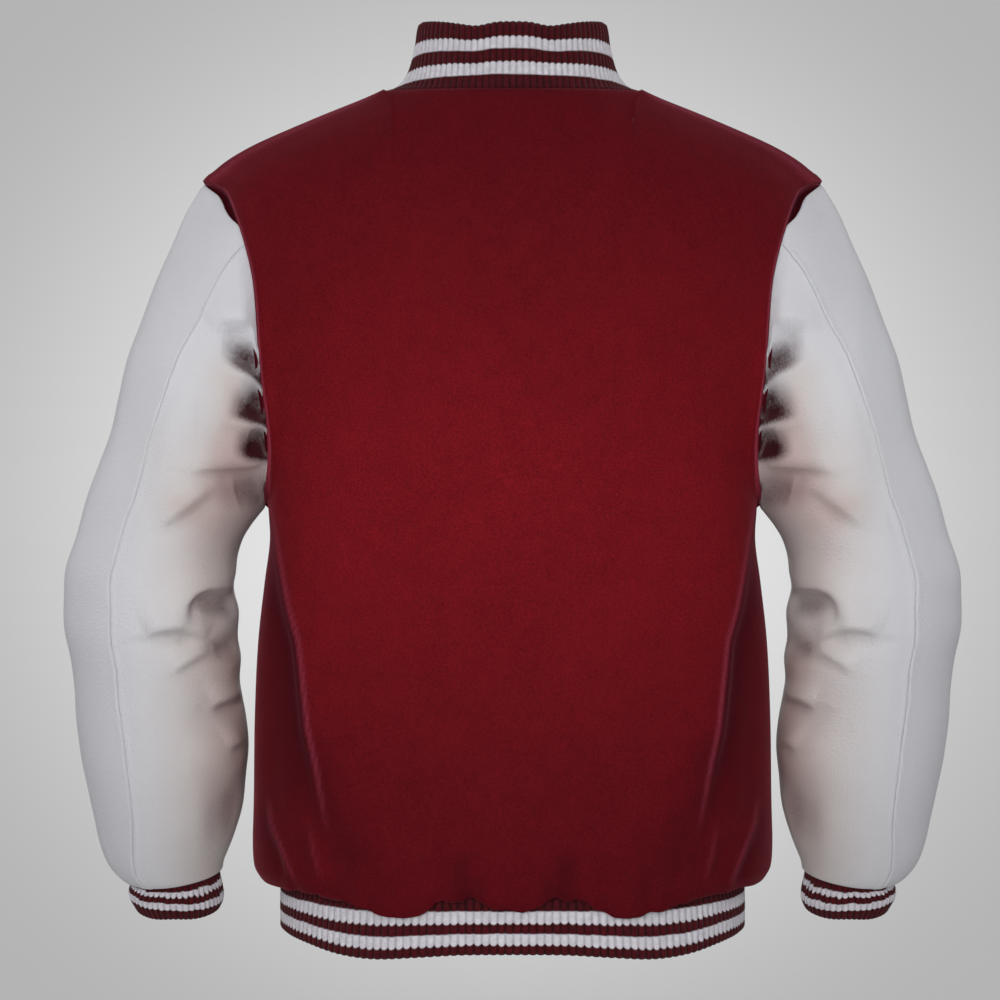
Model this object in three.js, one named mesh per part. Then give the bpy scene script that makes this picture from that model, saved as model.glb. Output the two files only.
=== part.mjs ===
import * as THREE from 'three';

// Varsity jacket, closed and filled out, in millimetres.
// +Z is up, +Y is the wearer's back and +X the wearer's left.
// The origin is the middle of the neck opening, at the height of the neck points.

// Cloth
const WOOL = 3.0;
const LEATHER = 1.6;
const KNIT = 2.6;
const RIB_RAISE = 1.2;
const SEAM_GAP = 0.3;
const HALF_GAP = SEAM_GAP / 2;
const SEWN_GAP = 0.38;
const ARMHOLE_GAP = 0.6;

// Body
const NECK_HALF_WIDTH = 103.6;
const NECK_BACK_DEPTH = 73;
const NECK_FRONT_DEPTH = 98;
const NECK_BACK_DROP = 7;
const NECK_FRONT_DROP = 75;
const SHOULDER_TIP_X = 249;
const SHOULDER_TIP_Z = -72;
const UNDERARM_Z = -330;
const ARMHOLE_DEPTH = 72;
const FRONT_LAP = 14;
const HEM_SEAM_Z = -618;
const BAND_HALF_WIDTH = 183;
const BAND_BACK_DEPTH = 134;
const BAND_FRONT_DEPTH = 132;
const SHOULDER_ROUND = 105;
const NECK_ROUND = 70;
const SLEEVE_INSET = 1.2;

// Ribbed bands
const COLLAR_RIBS = 119;
const HEM_RIBS = 174;
const CUFF_RIBS = 47;

// Snap caps
const SNAP_COUNT = 7;
const SNAP_TOP_Z = -112;
const SNAP_PITCH = 73;
const SNAP_RADIUS = 7.5;
const SNAP_HEIGHT = 2.6;
const SNAP_SIDES = 12;

// Grid steps
const SIDE_COLUMNS = 10;
const NECK_COLUMNS = 4;
const BODY_ROWS = 8;
const ARMHOLE_ROWS = 10;
const RING_STEPS = 20;
const SLEEVE_ROWS = 24;
const HIND_SEAM_STEP = 3;
const FORE_SEAM_STEP = -7;

// Shoulder line, from the neck point out to the tip
const SHOULDER_LINE = [
  { x: 103.6, z: 0 },
  { x: 146, z: -14.5 },
  { x: 186, z: -31 },
  { x: 211, z: -42.5 },
  { x: 231, z: -55 },
  { x: 249, z: -72 },
];

// Half width and depths of the body from the fullest line up, by height
const BODY_SECTIONS = [
  { z: -600, half: 207.4, back: 149, front: 147 },
  { z: -566, half: 206.4, back: 147, front: 147 },
  { z: -500, half: 205.6, back: 142, front: 144 },
  { z: -440, half: 203, back: 136, front: 141 },
  { z: -390, half: 197.6, back: 130.5, front: 138.5 },
  { z: -358, half: 193.6, back: 127, front: 136.5 },
  { z: -330, half: 195, back: 124, front: 134.5 },
  { z: -250, half: 197, back: 117.5, front: 130 },
  { z: -165, half: 200, back: 111, front: 124 },
  { z: -90, half: 224, back: 104, front: 116 },
  { z: 0, half: 249, back: 96, front: 108 },
];

// Blouse over the hem band: share of the way out from the seam to the fullest line,
// height above the seam, and share of the edge's lift
const BLOUSE_ROWS = [
  { out: 0, up: 0, lift: 0 },
  { out: 0.25, up: -4, lift: 0.4 },
  { out: 0.39, up: -13, lift: 1 },
  { out: 0.6, up: -18, lift: 1 },
  { out: 0.82, up: -11, lift: 0.8 },
  { out: 0.965, up: 2, lift: 0.3 },
];

// Lift of the blouse's lower edge across the back, by distance from the centre
const BLOUSE_EDGE = [
  { x: 0, lift: 0 },
  { x: 18, lift: 2.3 },
  { x: 32, lift: 10 },
  { x: 47, lift: 8 },
  { x: 62, lift: 1.6 },
  { x: 75, lift: -6 },
  { x: 89, lift: -7 },
  { x: 104, lift: -4 },
  { x: 118, lift: 0 },
  { x: 132, lift: 4 },
  { x: 149, lift: 7 },
  { x: 166, lift: 12 },
  { x: 183, lift: 16 },
];

// Armhole edge: how far out it lies at each share of its height
const ARMHOLE_EDGE = [
  { share: 0, x: 195 },
  { share: 0.35, x: 197.5 },
  { share: 0.6, x: 199.5 },
  { share: 0.7, x: 203.5 },
  { share: 0.8, x: 210 },
  { share: 0.88, x: 217.5 },
  { share: 0.93, x: 224.5 },
  { share: 0.97, x: 234 },
  { share: 1, x: 249 },
];

// Sleeve sections from the armhole down: outer and inner points of each in front view,
// half depth, set of the middle to the back, drop of the back side, and angle of the hind seam
const SLEEVE_SECTIONS = [
  { outX: 249, outZ: -72, inX: 195, inZ: -330, depth: 72, set: 0, drop: 0, seam: 54 },
  { outX: 261, outZ: -95, inX: 196.5, inZ: -333, depth: 73, set: 0, drop: 0, seam: 60 },
  { outX: 272, outZ: -124, inX: 199, inZ: -336, depth: 74, set: 1, drop: 0, seam: 68 },
  { outX: 285, outZ: -153, inX: 201.5, inZ: -339, depth: 75, set: 2, drop: 0, seam: 75 },
  { outX: 297, outZ: -183, inX: 204.5, inZ: -342.5, depth: 76, set: 3, drop: 0, seam: 79 },
  { outX: 307, outZ: -212, inX: 207.5, inZ: -346, depth: 76, set: 4, drop: 0, seam: 80 },
  { outX: 313.5, outZ: -242, inX: 210.5, inZ: -350, depth: 75.5, set: 5, drop: 0, seam: 79 },
  { outX: 320, outZ: -271, inX: 213.5, inZ: -354.5, depth: 75, set: 6, drop: 0, seam: 76 },
  { outX: 330, outZ: -299, inX: 216.5, inZ: -361, depth: 74, set: 7, drop: 0.01, seam: 73 },
  { outX: 339.5, outZ: -326, inX: 219.5, inZ: -371.5, depth: 73, set: 8, drop: 0.02, seam: 70 },
  { outX: 347.5, outZ: -354, inX: 220.5, inZ: -384, depth: 72, set: 9, drop: 0.03, seam: 69 },
  { outX: 355.5, outZ: -380, inX: 221.8, inZ: -397, depth: 71, set: 9, drop: 0.05, seam: 69 },
  { outX: 357, outZ: -403, inX: 217.2, inZ: -415, depth: 70, set: 8, drop: 0.07, seam: 69 },
  { outX: 356.5, outZ: -427, inX: 218.2, inZ: -436, depth: 69.5, set: 6, drop: 0.09, seam: 69 },
  { outX: 352, outZ: -451, inX: 216.2, inZ: -453, depth: 69, set: 3, drop: 0.11, seam: 69 },
  { outX: 350, outZ: -474, inX: 217.6, inZ: -473, depth: 68.5, set: -1, drop: 0.13, seam: 69 },
  { outX: 349, outZ: -499, inX: 214, inZ: -501, depth: 68, set: -6, drop: 0.15, seam: 70 },
  { outX: 346.5, outZ: -526, inX: 212.5, inZ: -526, depth: 66.5, set: -11, drop: 0.17, seam: 70 },
  { outX: 342, outZ: -552, inX: 215.5, inZ: -551, depth: 63.5, set: -16, drop: 0.18, seam: 70 },
  { outX: 336, outZ: -576, inX: 219, inZ: -575, depth: 59, set: -21, drop: 0.19, seam: 69 },
  { outX: 327.5, outZ: -599, inX: 226, inZ: -598, depth: 52, set: -26, drop: 0.2, seam: 67 },
  { outX: 319, outZ: -620, inX: 233.5, inZ: -617, depth: 44, set: -30, drop: 0.2, seam: 64 },
  { outX: 307.5, outZ: -633, inX: 235.5, inZ: -625, depth: 37, set: -32, drop: 0.2, seam: 62 },
];

// The sleeve's end turned in to the cuff seam
const SLEEVE_END = {
  outX: 303, outZ: -630, inX: 240, inZ: -622, depth: 32.5, set: -32, drop: 0.2, seam: 62,
};

// Cuff rows from the seam down, as sleeve sections
const CUFF_ROWS = [
  { outX: 306, outZ: -643, inX: 231, inZ: -639, depth: 36, set: -35, drop: 0.2, seam: 62 },
  { outX: 300.5, outZ: -659.5, inX: 236, inZ: -656, depth: 33.5, set: -38, drop: 0.2, seam: 62 },
];

// Collar rows: height above the neck line, inward lean at sides, back and front
const COLLAR_ROWS = [
  { rise: 9, side: 15.5, back: 3, front: 3 },
  { rise: 26, side: 25.5, back: 6, front: 6 },
  { rise: 50, side: 30, back: 9, front: 9 },
];

// Hem band rows: height below the seam, step out at the sides and at the middle
const HEM_ROWS = [
  { below: 9, side: 0.5, middle: 2 },
  { below: 49, side: 1, middle: 6 },
];

// Soft folds of the back panel, given on one side and mirrored.
// Each runs between two points in front view; depth is out of the cloth where positive.
const BACK_FOLDS = [
  { x1: 192, z1: -350, x2: 172, z2: -412, width: 15, depth: 5 },
  { x1: 172, z1: -412, x2: 158, z2: -500, width: 15, depth: 7 },
  { x1: 158, z1: -500, x2: 141, z2: -565, width: 15, depth: 6 },
  { x1: 190, z1: -430, x2: 186, z2: -560, width: 14, depth: -5 },
  { x1: 205, z1: -250, x2: 170, z2: -215, width: 16, depth: -3 },
];

// Folds of the fronts, after those of the back
const FRONT_FOLDS = [
  { x1: 192, z1: -350, x2: 170, z2: -430, width: 16, depth: 5 },
  { x1: 170, z1: -430, x2: 155, z2: -540, width: 16, depth: 6 },
  { x1: 188, z1: -440, x2: 184, z2: -560, width: 14, depth: -4 },
  { x1: 200, z1: -265, x2: 160, z2: -235, width: 18, depth: -4 },
  { x1: 120, z1: -560, x2: 108, z2: -600, width: 14, depth: -3 },
];

// Folds of the sleeve's back half, and of its front half where face is -1
const SLEEVE_FOLDS = [
  { x1: 196, z1: -192, x2: 238, z2: -190, width: 13, depth: 5, face: 1 },
  { x1: 194, z1: -228, x2: 216, z2: -214, width: 12, depth: -10, face: 1 },
  { x1: 194, z1: -250, x2: 226, z2: -246, width: 12, depth: 4, face: 1 },
  { x1: 194, z1: -276, x2: 212, z2: -266, width: 11, depth: -8, face: 1 },
  { x1: 214, z1: -304, x2: 270, z2: -320, width: 12, depth: -4, face: 1 },
  { x1: 214, z1: -402, x2: 250, z2: -404, width: 13, depth: -9, face: 1 },
  { x1: 250, z1: -404, x2: 264, z2: -436, width: 13, depth: -8, face: 1 },
  { x1: 214, z1: -438, x2: 292, z2: -437, width: 11, depth: -5, face: 1 },
  { x1: 214, z1: -483, x2: 240, z2: -488, width: 12, depth: -6, face: 1 },
  { x1: 222, z1: -520, x2: 240, z2: -540, width: 20, depth: 4, face: 1 },
  { x1: 196, z1: -222, x2: 246, z2: -205, width: 14, depth: -7, face: -1 },
  { x1: 200, z1: -270, x2: 262, z2: -282, width: 14, depth: -5, face: -1 },
  { x1: 216, z1: -392, x2: 300, z2: -410, width: 14, depth: -8, face: -1 },
  { x1: 216, z1: -430, x2: 290, z2: -424, width: 12, depth: -7, face: -1 },
  { x1: 218, z1: -470, x2: 270, z2: -484, width: 13, depth: -5, face: -1 },
];

const UP = new THREE.Vector3(0, 0, 1);

const mix = (a, b, share) => a + (b - a) * share;
const clamp01 = (value) => Math.min(Math.max(value, 0), 1);
const smooth = (value) => clamp01(value) ** 2 * (3 - 2 * clamp01(value));

// Smooth curve through one column of a table, read by another column that rises
function curve(rows, key, name) {
  const keys = rows.map((row) => row[key]);
  const values = rows.map((row) => row[name]);
  const last = keys.length - 1;
  const slopes = keys.map((_, i) => {
    const before = Math.max(i - 1, 0);
    const after = Math.min(i + 1, last);
    return (values[after] - values[before]) / (keys[after] - keys[before]);
  });
  return (at) => {
    const x = Math.min(Math.max(at, keys[0]), keys[last]);
    let i = 0;
    while (i < last - 1 && x > keys[i + 1]) i += 1;
    const span = keys[i + 1] - keys[i];
    const t = (x - keys[i]) / span;
    const start = (1 + 2 * t) * (1 - t) ** 2 * values[i];
    const end = t ** 2 * (3 - 2 * t) * values[i + 1];
    const lead = t * (1 - t) ** 2 * span * slopes[i];
    const trail = t ** 2 * (t - 1) * span * slopes[i + 1];
    return start + end + lead + trail;
  };
}

const shoulderHeight = curve(SHOULDER_LINE, 'x', 'z');
const bodyHalf = curve(BODY_SECTIONS, 'z', 'half');
const bodyBack = curve(BODY_SECTIONS, 'z', 'back');
const bodyFront = curve(BODY_SECTIONS, 'z', 'front');
const armholeX = curve(ARMHOLE_EDGE, 'share', 'x');
const blouseLift = curve(BLOUSE_EDGE, 'x', 'lift');

// Distance in front view from a point to a fold's line
function foldDistance(fold, x, z) {
  const runX = fold.x2 - fold.x1;
  const runZ = fold.z2 - fold.z1;
  const along = clamp01(((x - fold.x1) * runX + (z - fold.z1) * runZ) / (runX ** 2 + runZ ** 2));
  return Math.hypot(x - fold.x1 - along * runX, z - fold.z1 - along * runZ);
}

// How far the folds move the cloth out at a place in front view
function foldHeight(folds, x, z) {
  return folds.reduce((sum, fold) => {
    const away = foldDistance(fold, x, z) / fold.width;
    return sum + fold.depth * Math.exp(-(away ** 2));
  }, 0);
}

// Outward normals of a grid of points; a closed grid's columns run all round
function gridNormals(grid, closed, sign) {
  const lastRow = grid.length - 1;
  const columns = grid[0].length;
  return grid.map((row, i) => row.map((point, j) => {
    const left = closed ? row[(j + columns - 1) % columns] : row[Math.max(j - 1, 0)];
    const right = closed ? row[(j + 1) % columns] : row[Math.min(j + 1, columns - 1)];
    const below = grid[Math.max(i - 1, 0)][j];
    const above = grid[Math.min(i + 1, lastRow)][j];
    const across = right.clone().sub(left);
    const along = above.clone().sub(below);
    return across.cross(along).normalize().multiplyScalar(sign);
  }));
}

// One closed body from vertices and triangles, turned so that its faces point out
function closedGeometry(points, triangles) {
  let volume = 0;
  for (const [a, b, c] of triangles) {
    volume += points[a].dot(points[b].clone().cross(points[c]));
  }
  const outward = volume > 0 ? triangles : triangles.map(([a, b, c]) => [a, c, b]);
  const geometry = new THREE.BufferGeometry();
  const coordinates = points.flatMap((point) => [point.x, point.y, point.z]);
  geometry.setAttribute('position', new THREE.Float32BufferAttribute(coordinates, 3));
  geometry.setIndex(outward.flat());
  geometry.computeVertexNormals();
  return geometry;
}

// A cloth wall between an outer and an inner grid of the same size
function wallGeometry(outer, inner) {
  const rows = outer.length;
  const columns = outer[0].length;
  const points = [...outer.flat(), ...inner.flat()];
  const at = (layer, i, j) => layer * rows * columns + i * columns + j;
  const triangles = [];
  const quad = (a, b, c, d) => triangles.push([a, b, c], [a, c, d]);
  for (let i = 0; i < rows - 1; i += 1) {
    for (let j = 0; j < columns - 1; j += 1) {
      quad(at(0, i, j), at(0, i, j + 1), at(0, i + 1, j + 1), at(0, i + 1, j));
      quad(at(1, i, j), at(1, i + 1, j), at(1, i + 1, j + 1), at(1, i, j + 1));
    }
  }
  for (let j = 0; j < columns - 1; j += 1) {
    const top = rows - 1;
    quad(at(0, 0, j), at(1, 0, j), at(1, 0, j + 1), at(0, 0, j + 1));
    quad(at(0, top, j), at(0, top, j + 1), at(1, top, j + 1), at(1, top, j));
  }
  for (let i = 0; i < rows - 1; i += 1) {
    const end = columns - 1;
    quad(at(0, i, 0), at(0, i + 1, 0), at(1, i + 1, 0), at(1, i, 0));
    quad(at(0, i, end), at(1, i, end), at(1, i + 1, end), at(0, i + 1, end));
  }
  return closedGeometry(points, triangles);
}

// Direction from outer to inner face that two walls share where their edges are sewn
const mitre = (inwardA, inwardB) => inwardA.clone().add(inwardB).normalize();

// Length along the mitre that gives a wall its thickness
const STEEPEST_MITRE = 0.5;
const mitreLength = (direction, inward, cloth) => cloth / Math.max(STEEPEST_MITRE, direction.dot(inward));

const level = (vector) => new THREE.Vector3(vector.x, 0, vector.z).normalize();

// Horizontal direction away from a centre, square to a line of points
function outwardAt(line, i, centre, closed) {
  const count = line.length;
  const before = closed ? line[(i + count - 1) % count] : line[Math.max(i - 1, 0)];
  const after = closed ? line[(i + 1) % count] : line[Math.min(i + 1, count - 1)];
  const out = after.clone().sub(before).cross(UP).normalize();
  const away = line[i].clone().sub(centre);
  return out.dot(away) < 0 ? out.negate() : out;
}

// Neck line and shoulder seam seen as one top edge: its height and depth by distance from the middle
function topEdge(face, x) {
  const across = Math.abs(x) / NECK_HALF_WIDTH;
  if (across >= 1) {
    return { z: shoulderHeight(Math.abs(x)), y: HALF_GAP };
  }
  const round = Math.sqrt(1 - across ** 2);
  const drop = face > 0 ? NECK_BACK_DROP : NECK_FRONT_DROP;
  const depth = face > 0 ? NECK_BACK_DEPTH : NECK_FRONT_DEPTH;
  return { z: -drop * round, y: HALF_GAP + (depth - HALF_GAP) * round };
}

// Places of the grid's columns as shares of the half width, low on the body and along the top
const QUARTER_TURN = Math.PI / 2;
const lowShare = (step) => Math.sin(QUARTER_TURN * step / SIDE_COLUMNS);
function topShare(step) {
  const size = Math.abs(step);
  const neckX = NECK_HALF_WIDTH * Math.sin(QUARTER_TURN * Math.min(size, NECK_COLUMNS) / NECK_COLUMNS);
  const beyond = clamp01((size - NECK_COLUMNS) / (SIDE_COLUMNS - NECK_COLUMNS));
  return Math.sign(step) * (neckX + (SHOULDER_TIP_X - NECK_HALF_WIDTH) * beyond) / SHOULDER_TIP_X;
}

// Rows of the body from the hem seam up: side width, height, and share of the armhole's height
const FULLEST_Z = -592;
const bodyRows = BLOUSE_ROWS.map((row) => ({
  half: mix(BAND_HALF_WIDTH, bodyHalf(FULLEST_Z), row.out),
  out: row.out,
  z: HEM_SEAM_Z + row.up,
  lift: row.lift,
  share: 0,
  edge: HALF_GAP,
}));
for (let i = 0; i < BODY_ROWS; i += 1) {
  const z = mix(FULLEST_Z, UNDERARM_Z, i / BODY_ROWS);
  bodyRows.push({ half: bodyHalf(z), out: 1, z, lift: 0, share: 0, edge: HALF_GAP });
}
const UNDERARM_ROW = bodyRows.length;
for (let i = 0; i <= ARMHOLE_ROWS; i += 1) {
  const turn = Math.PI * i / ARMHOLE_ROWS;
  const share = (1 - Math.cos(turn)) / 2;
  const edge = Math.max(HALF_GAP, ARMHOLE_DEPTH * Math.sin(turn));
  bodyRows.push({ half: armholeX(share), out: 1, z: UNDERARM_Z, lift: 0, share, edge });
}

// Roundness of the body's sections, and of their change into the armhole's edge
const CROWN = 2.5;
const CORNER = 2.2;
const EDGE_BLEND = 3;
const TIP_FADE = 5;

// A place on the outer face of a body panel, before folds
function bodyPoint(face, row, low, top) {
  const share = mix(low, top, smooth(row.share));
  const x = share * row.half;
  const edge = topEdge(face, top * SHOULDER_TIP_X);
  const across = Math.abs(share);
  const z = row.z + (edge.z - UNDERARM_Z) * row.share + row.lift * blouseLift(Math.abs(x));
  const bandDepth = face > 0 ? BAND_BACK_DEPTH : BAND_FRONT_DEPTH;
  const fullDepth = face > 0 ? bodyBack(z) : bodyFront(z);
  const depth = mix(bandDepth, fullDepth, row.out);
  const flank = depth * (1 - across ** CROWN) ** (1 / CORNER);
  const side = (flank ** EDGE_BLEND + row.edge ** EDGE_BLEND) ** (1 / EDGE_BLEND);
  const inner = Math.abs(top) * SHOULDER_TIP_X / NECK_HALF_WIDTH;
  const reach = mix(NECK_ROUND, SHOULDER_ROUND, smooth(inner)) * (1 - Math.abs(top) ** TIP_FADE) + 1;
  const turned = Math.sqrt(1 - (1 - clamp01((edge.z - z) / reach)) ** 2);
  return new THREE.Vector3(x, face * mix(edge.y, side, turned), z);
}

// Outer face of a body panel. The lapped edge of a front lies past the centre line,
// but over the blouse the two edges meet at the centre.
const LAP = 'lap';
const SIDE_FADE = 8;
const LAP_START_ROW = BLOUSE_ROWS.length + 1;
const CENTRE_GAP = 0.75;
const EDGE_COLUMN = 9;
function bodyFace(face, steps, folds) {
  const lapped = steps.includes(LAP);
  const flat = bodyRows.map((row, i) => steps.map((step) => {
    if (lapped && (step === LAP || step === 0) && i < LAP_START_ROW) {
      const x = step === LAP ? CENTRE_GAP : EDGE_COLUMN;
      return bodyPoint(face, row, x / row.half, x / SHOULDER_TIP_X);
    }
    if (step === LAP) {
      return bodyPoint(face, row, -FRONT_LAP / row.half, -FRONT_LAP / SHOULDER_TIP_X);
    }
    return bodyPoint(face, row, lowShare(step), topShare(step));
  }));
  const normals = gridNormals(flat, false, -face);
  return flat.map((line, i) => line.map((point, j) => {
    const share = steps[j] === LAP ? 0 : Math.abs(lowShare(steps[j]));
    const inside = i > 0 && i < flat.length - 1 ? 1 - share ** SIDE_FADE : 0;
    const height = inside * foldHeight(folds, Math.abs(point.x), point.z);
    return point.clone().addScaledVector(normals[i][j], height);
  }));
}

// Sections between a table's rows, read at a share of the way down
function sectionReader(table) {
  const numbered = table.map((row, step) => ({ ...row, step }));
  const names = Object.keys(table[0]);
  const readers = names.map((name) => [name, curve(numbered, 'step', name)]);
  const last = table.length - 1;
  return (share) => Object.fromEntries(readers.map(([name, read]) => [name, read(share * last)]));
}

// Angle of a sleeve's grid step, with the hind seam at its own angle
function ringAngle(step, seam) {
  const turn = 360 / RING_STEPS;
  if (step <= 0) {
    return THREE.MathUtils.degToRad(turn * step);
  }
  if (step <= HIND_SEAM_STEP) {
    return THREE.MathUtils.degToRad(seam * step / HIND_SEAM_STEP);
  }
  const lastStep = RING_STEPS + FORE_SEAM_STEP;
  const beyond = (step - HIND_SEAM_STEP) / (lastStep - HIND_SEAM_STEP);
  return THREE.MathUtils.degToRad(mix(seam, turn * lastStep, beyond));
}

// A place on a sleeve section; angle 0 is its outer point and a quarter turn its back
function ringPoint(section, angle) {
  const across = Math.cos(angle);
  const deep = Math.sin(angle) * section.depth;
  const x = mix(section.inX, section.outX, (1 + across) / 2);
  const z = mix(section.inZ, section.outZ, (1 + across) / 2) - section.drop * deep;
  return new THREE.Vector3(x, section.set + deep, z);
}

// Armhole edge, shared by the body and the sleeve's first ring
function armholePoint(step) {
  const turn = 2 * Math.PI * step / RING_STEPS;
  const share = (1 + Math.cos(turn)) / 2;
  const z = mix(UNDERARM_Z, SHOULDER_TIP_Z, share);
  return new THREE.Vector3(armholeX(share), ARMHOLE_DEPTH * Math.sin(turn), z);
}

const SCOOP_ROWS = 0.2;
const FACE_FADE = 0.35;

// Outer face of the left sleeve: rows from the armhole down, columns from the fore seam all round
function sleeveFace() {
  const section = sectionReader(SLEEVE_SECTIONS);
  const steps = Array.from({ length: RING_STEPS }, (_, k) => k + FORE_SEAM_STEP);
  const rings = [];
  for (let i = 0; i <= SLEEVE_ROWS; i += 1) {
    const share = i / SLEEVE_ROWS;
    const here = section(share);
    const scoop = Math.max(0, 1 - share / SCOOP_ROWS) ** 2;
    rings.push(steps.map((step) => {
      const point = ringPoint(here, ringAngle(step, here.seam));
      const straight = ringPoint(SLEEVE_SECTIONS[0], 2 * Math.PI * step / RING_STEPS);
      const scooped = armholePoint(step).sub(straight).multiplyScalar(scoop);
      return point.add(scooped);
    }));
  }
  rings.push(steps.map((step) => ringPoint(SLEEVE_END, ringAngle(step, SLEEVE_END.seam))));
  const normals = gridNormals(rings, true, -1);
  return rings.map((ring, i) => ring.map((point, j) => {
    const inside = i > 0 && i < SLEEVE_ROWS ? 1 : 0;
    return SLEEVE_FOLDS.reduce((moved, fold) => {
      const facing = smooth(normals[i][j].y * fold.face / FACE_FADE);
      const height = inside * facing * foldHeight([fold], point.x, point.z);
      return moved.addScaledVector(normals[i][j], height);
    }, point.clone());
  }));
}

// A ribbed strip sewn to a line of points: ribs stand out of a plain inner face.
// rowPoint gives the plain outer face and its outward direction for each row after the seam.
// A rib's edge falls on each corner of the seam.
function ribbedGeometry(seam, closed, ribs, rowCount, rowPoint) {
  const lengths = [0];
  const ends = closed ? [...seam, seam[0]] : seam;
  for (let i = 1; i < ends.length; i += 1) {
    lengths.push(lengths[i - 1] + ends[i].outer.distanceTo(ends[i - 1].outer));
  }
  const whole = lengths[lengths.length - 1];
  const corners = lengths.filter((_, i) => i === 0 || i === ends.length - 1 || ends[i].corner);
  const places = corners.map((length) => Math.round(ribs * length / whole));
  const shareOf = (column) => {
    const at = column / 2;
    let i = 0;
    while (i < places.length - 2 && at > places[i + 1]) i += 1;
    const along = (at - places[i]) / (places[i + 1] - places[i]);
    return mix(corners[i], corners[i + 1], along) / whole;
  };
  const walk = (share, face) => {
    const target = share * whole;
    let i = 0;
    while (i < ends.length - 2 && target > lengths[i + 1]) i += 1;
    const along = (target - lengths[i]) / (lengths[i + 1] - lengths[i]);
    return ends[i][face].clone().lerp(ends[i + 1][face], along);
  };
  const extra = closed ? 0 : 1;
  const outerCount = 2 * ribs + extra;
  const innerCount = ribs + extra;
  const points = [];
  for (let row = 0; row <= rowCount; row += 1) {
    for (let c = 0; c < outerCount; c += 1) {
      const share = shareOf(c);
      if (row === 0) {
        points.push(walk(share, 'outer'));
      } else {
        const { point, out } = rowPoint(row - 1, share);
        points.push(point.addScaledVector(out, c % 2 === 1 ? RIB_RAISE : 0));
      }
    }
  }
  const innerStart = points.length;
  for (let row = 0; row <= rowCount; row += 1) {
    for (let c = 0; c < innerCount; c += 1) {
      const share = shareOf(2 * c);
      if (row === 0) {
        points.push(walk(share, 'inner'));
      } else {
        const { point, out } = rowPoint(row - 1, share);
        points.push(point.addScaledVector(out, -KNIT));
      }
    }
  }
  const outerAt = (row, c) => row * outerCount + (c % outerCount);
  const innerAt = (row, c) => innerStart + row * innerCount + (c % innerCount);
  const triangles = [];
  const quad = (a, b, c, d) => triangles.push([a, b, c], [a, c, d]);
  for (let row = 0; row < rowCount; row += 1) {
    for (let c = 0; c < 2 * ribs; c += 1) {
      quad(outerAt(row, c), outerAt(row, c + 1), outerAt(row + 1, c + 1), outerAt(row + 1, c));
    }
    for (let c = 0; c < ribs; c += 1) {
      quad(innerAt(row, c), innerAt(row + 1, c), innerAt(row + 1, c + 1), innerAt(row, c + 1));
    }
  }
  for (const row of [0, rowCount]) {
    const turn = (a, b, c) => triangles.push(row === 0 ? [a, b, c] : [a, c, b]);
    for (let c = 0; c < ribs; c += 1) {
      turn(outerAt(row, 2 * c), innerAt(row, c), outerAt(row, 2 * c + 1));
      turn(outerAt(row, 2 * c + 1), innerAt(row, c), innerAt(row, c + 1));
      turn(outerAt(row, 2 * c + 1), innerAt(row, c + 1), outerAt(row, 2 * c + 2));
    }
  }
  for (let row = 0; row < rowCount && !closed; row += 1) {
    quad(outerAt(row, 0), outerAt(row + 1, 0), innerAt(row + 1, 0), innerAt(row, 0));
    const outerEnd = outerCount - 1;
    const innerEnd = innerCount - 1;
    quad(
      outerAt(row, outerEnd),
      innerAt(row, innerEnd),
      innerAt(row + 1, innerEnd),
      outerAt(row + 1, outerEnd),
    );
  }
  return closedGeometry(points, triangles);
}

// The knit's edge where it is sewn to a cloth edge, a gap away from that edge
function knitEdge({ point, direction, out, corner }, away) {
  const aside = away.clone().addScaledVector(direction, -away.dot(direction)).normalize();
  const outer = point.clone().addScaledVector(aside, SEWN_GAP);
  const length = mitreLength(direction, out.clone().negate(), KNIT);
  return { outer, inner: outer.clone().addScaledVector(direction, length), corner };
}

const CENTRE = new THREE.Vector3();
const DOWN = UP.clone().negate();
const sleeve = sleeveFace();
const sleeveNormals = gridNormals(sleeve, true, -1);
const ringIndex = (step) => (step - FORE_SEAM_STEP + 2 * RING_STEPS) % RING_STEPS;

const mirrored = (point) => new THREE.Vector3(-point.x, point.y, point.z);
const halfSteps = Array.from({ length: SIDE_COLUMNS + 1 }, (_, step) => step);
const backSteps = [...halfSteps.slice(1).map((step) => -step).reverse(), ...halfSteps];
const frontSteps = [LAP, ...halfSteps];
const backFace = bodyFace(1, backSteps, BACK_FOLDS);
const frontFace = bodyFace(-1, frontSteps, FRONT_FOLDS);

// Mitre directions round the left armhole, evened out so that no two neighbours twist
const EVENING_PASSES = 2;
function armholeDirections() {
  let directions = sleeveNormals[0].map(() => null);
  for (const [grid, face] of [[frontFace, -1], [backFace, 1]]) {
    const normals = gridNormals(grid, false, -face);
    for (let i = 0; i <= ARMHOLE_ROWS; i += 1) {
      const index = ringIndex(face * (ARMHOLE_ROWS - i));
      const inward = normals[UNDERARM_ROW + i].at(-1).clone().negate();
      const direction = mitre(inward, sleeveNormals[0][index].clone().negate());
      directions[index] = i === 0 || i === ARMHOLE_ROWS ? level(direction) : direction;
    }
  }
  for (let pass = 0; pass < EVENING_PASSES; pass += 1) {
    directions = directions.map((direction, k, all) => {
      const before = all[(k + RING_STEPS - 1) % RING_STEPS];
      const after = all[(k + 1) % RING_STEPS];
      return direction.clone().multiplyScalar(2).add(before).add(after).normalize();
    });
  }
  for (const step of [0, ARMHOLE_ROWS]) {
    directions[ringIndex(step)] = level(directions[ringIndex(step)]);
  }
  return directions;
}
const armhole = armholeDirections();

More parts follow.
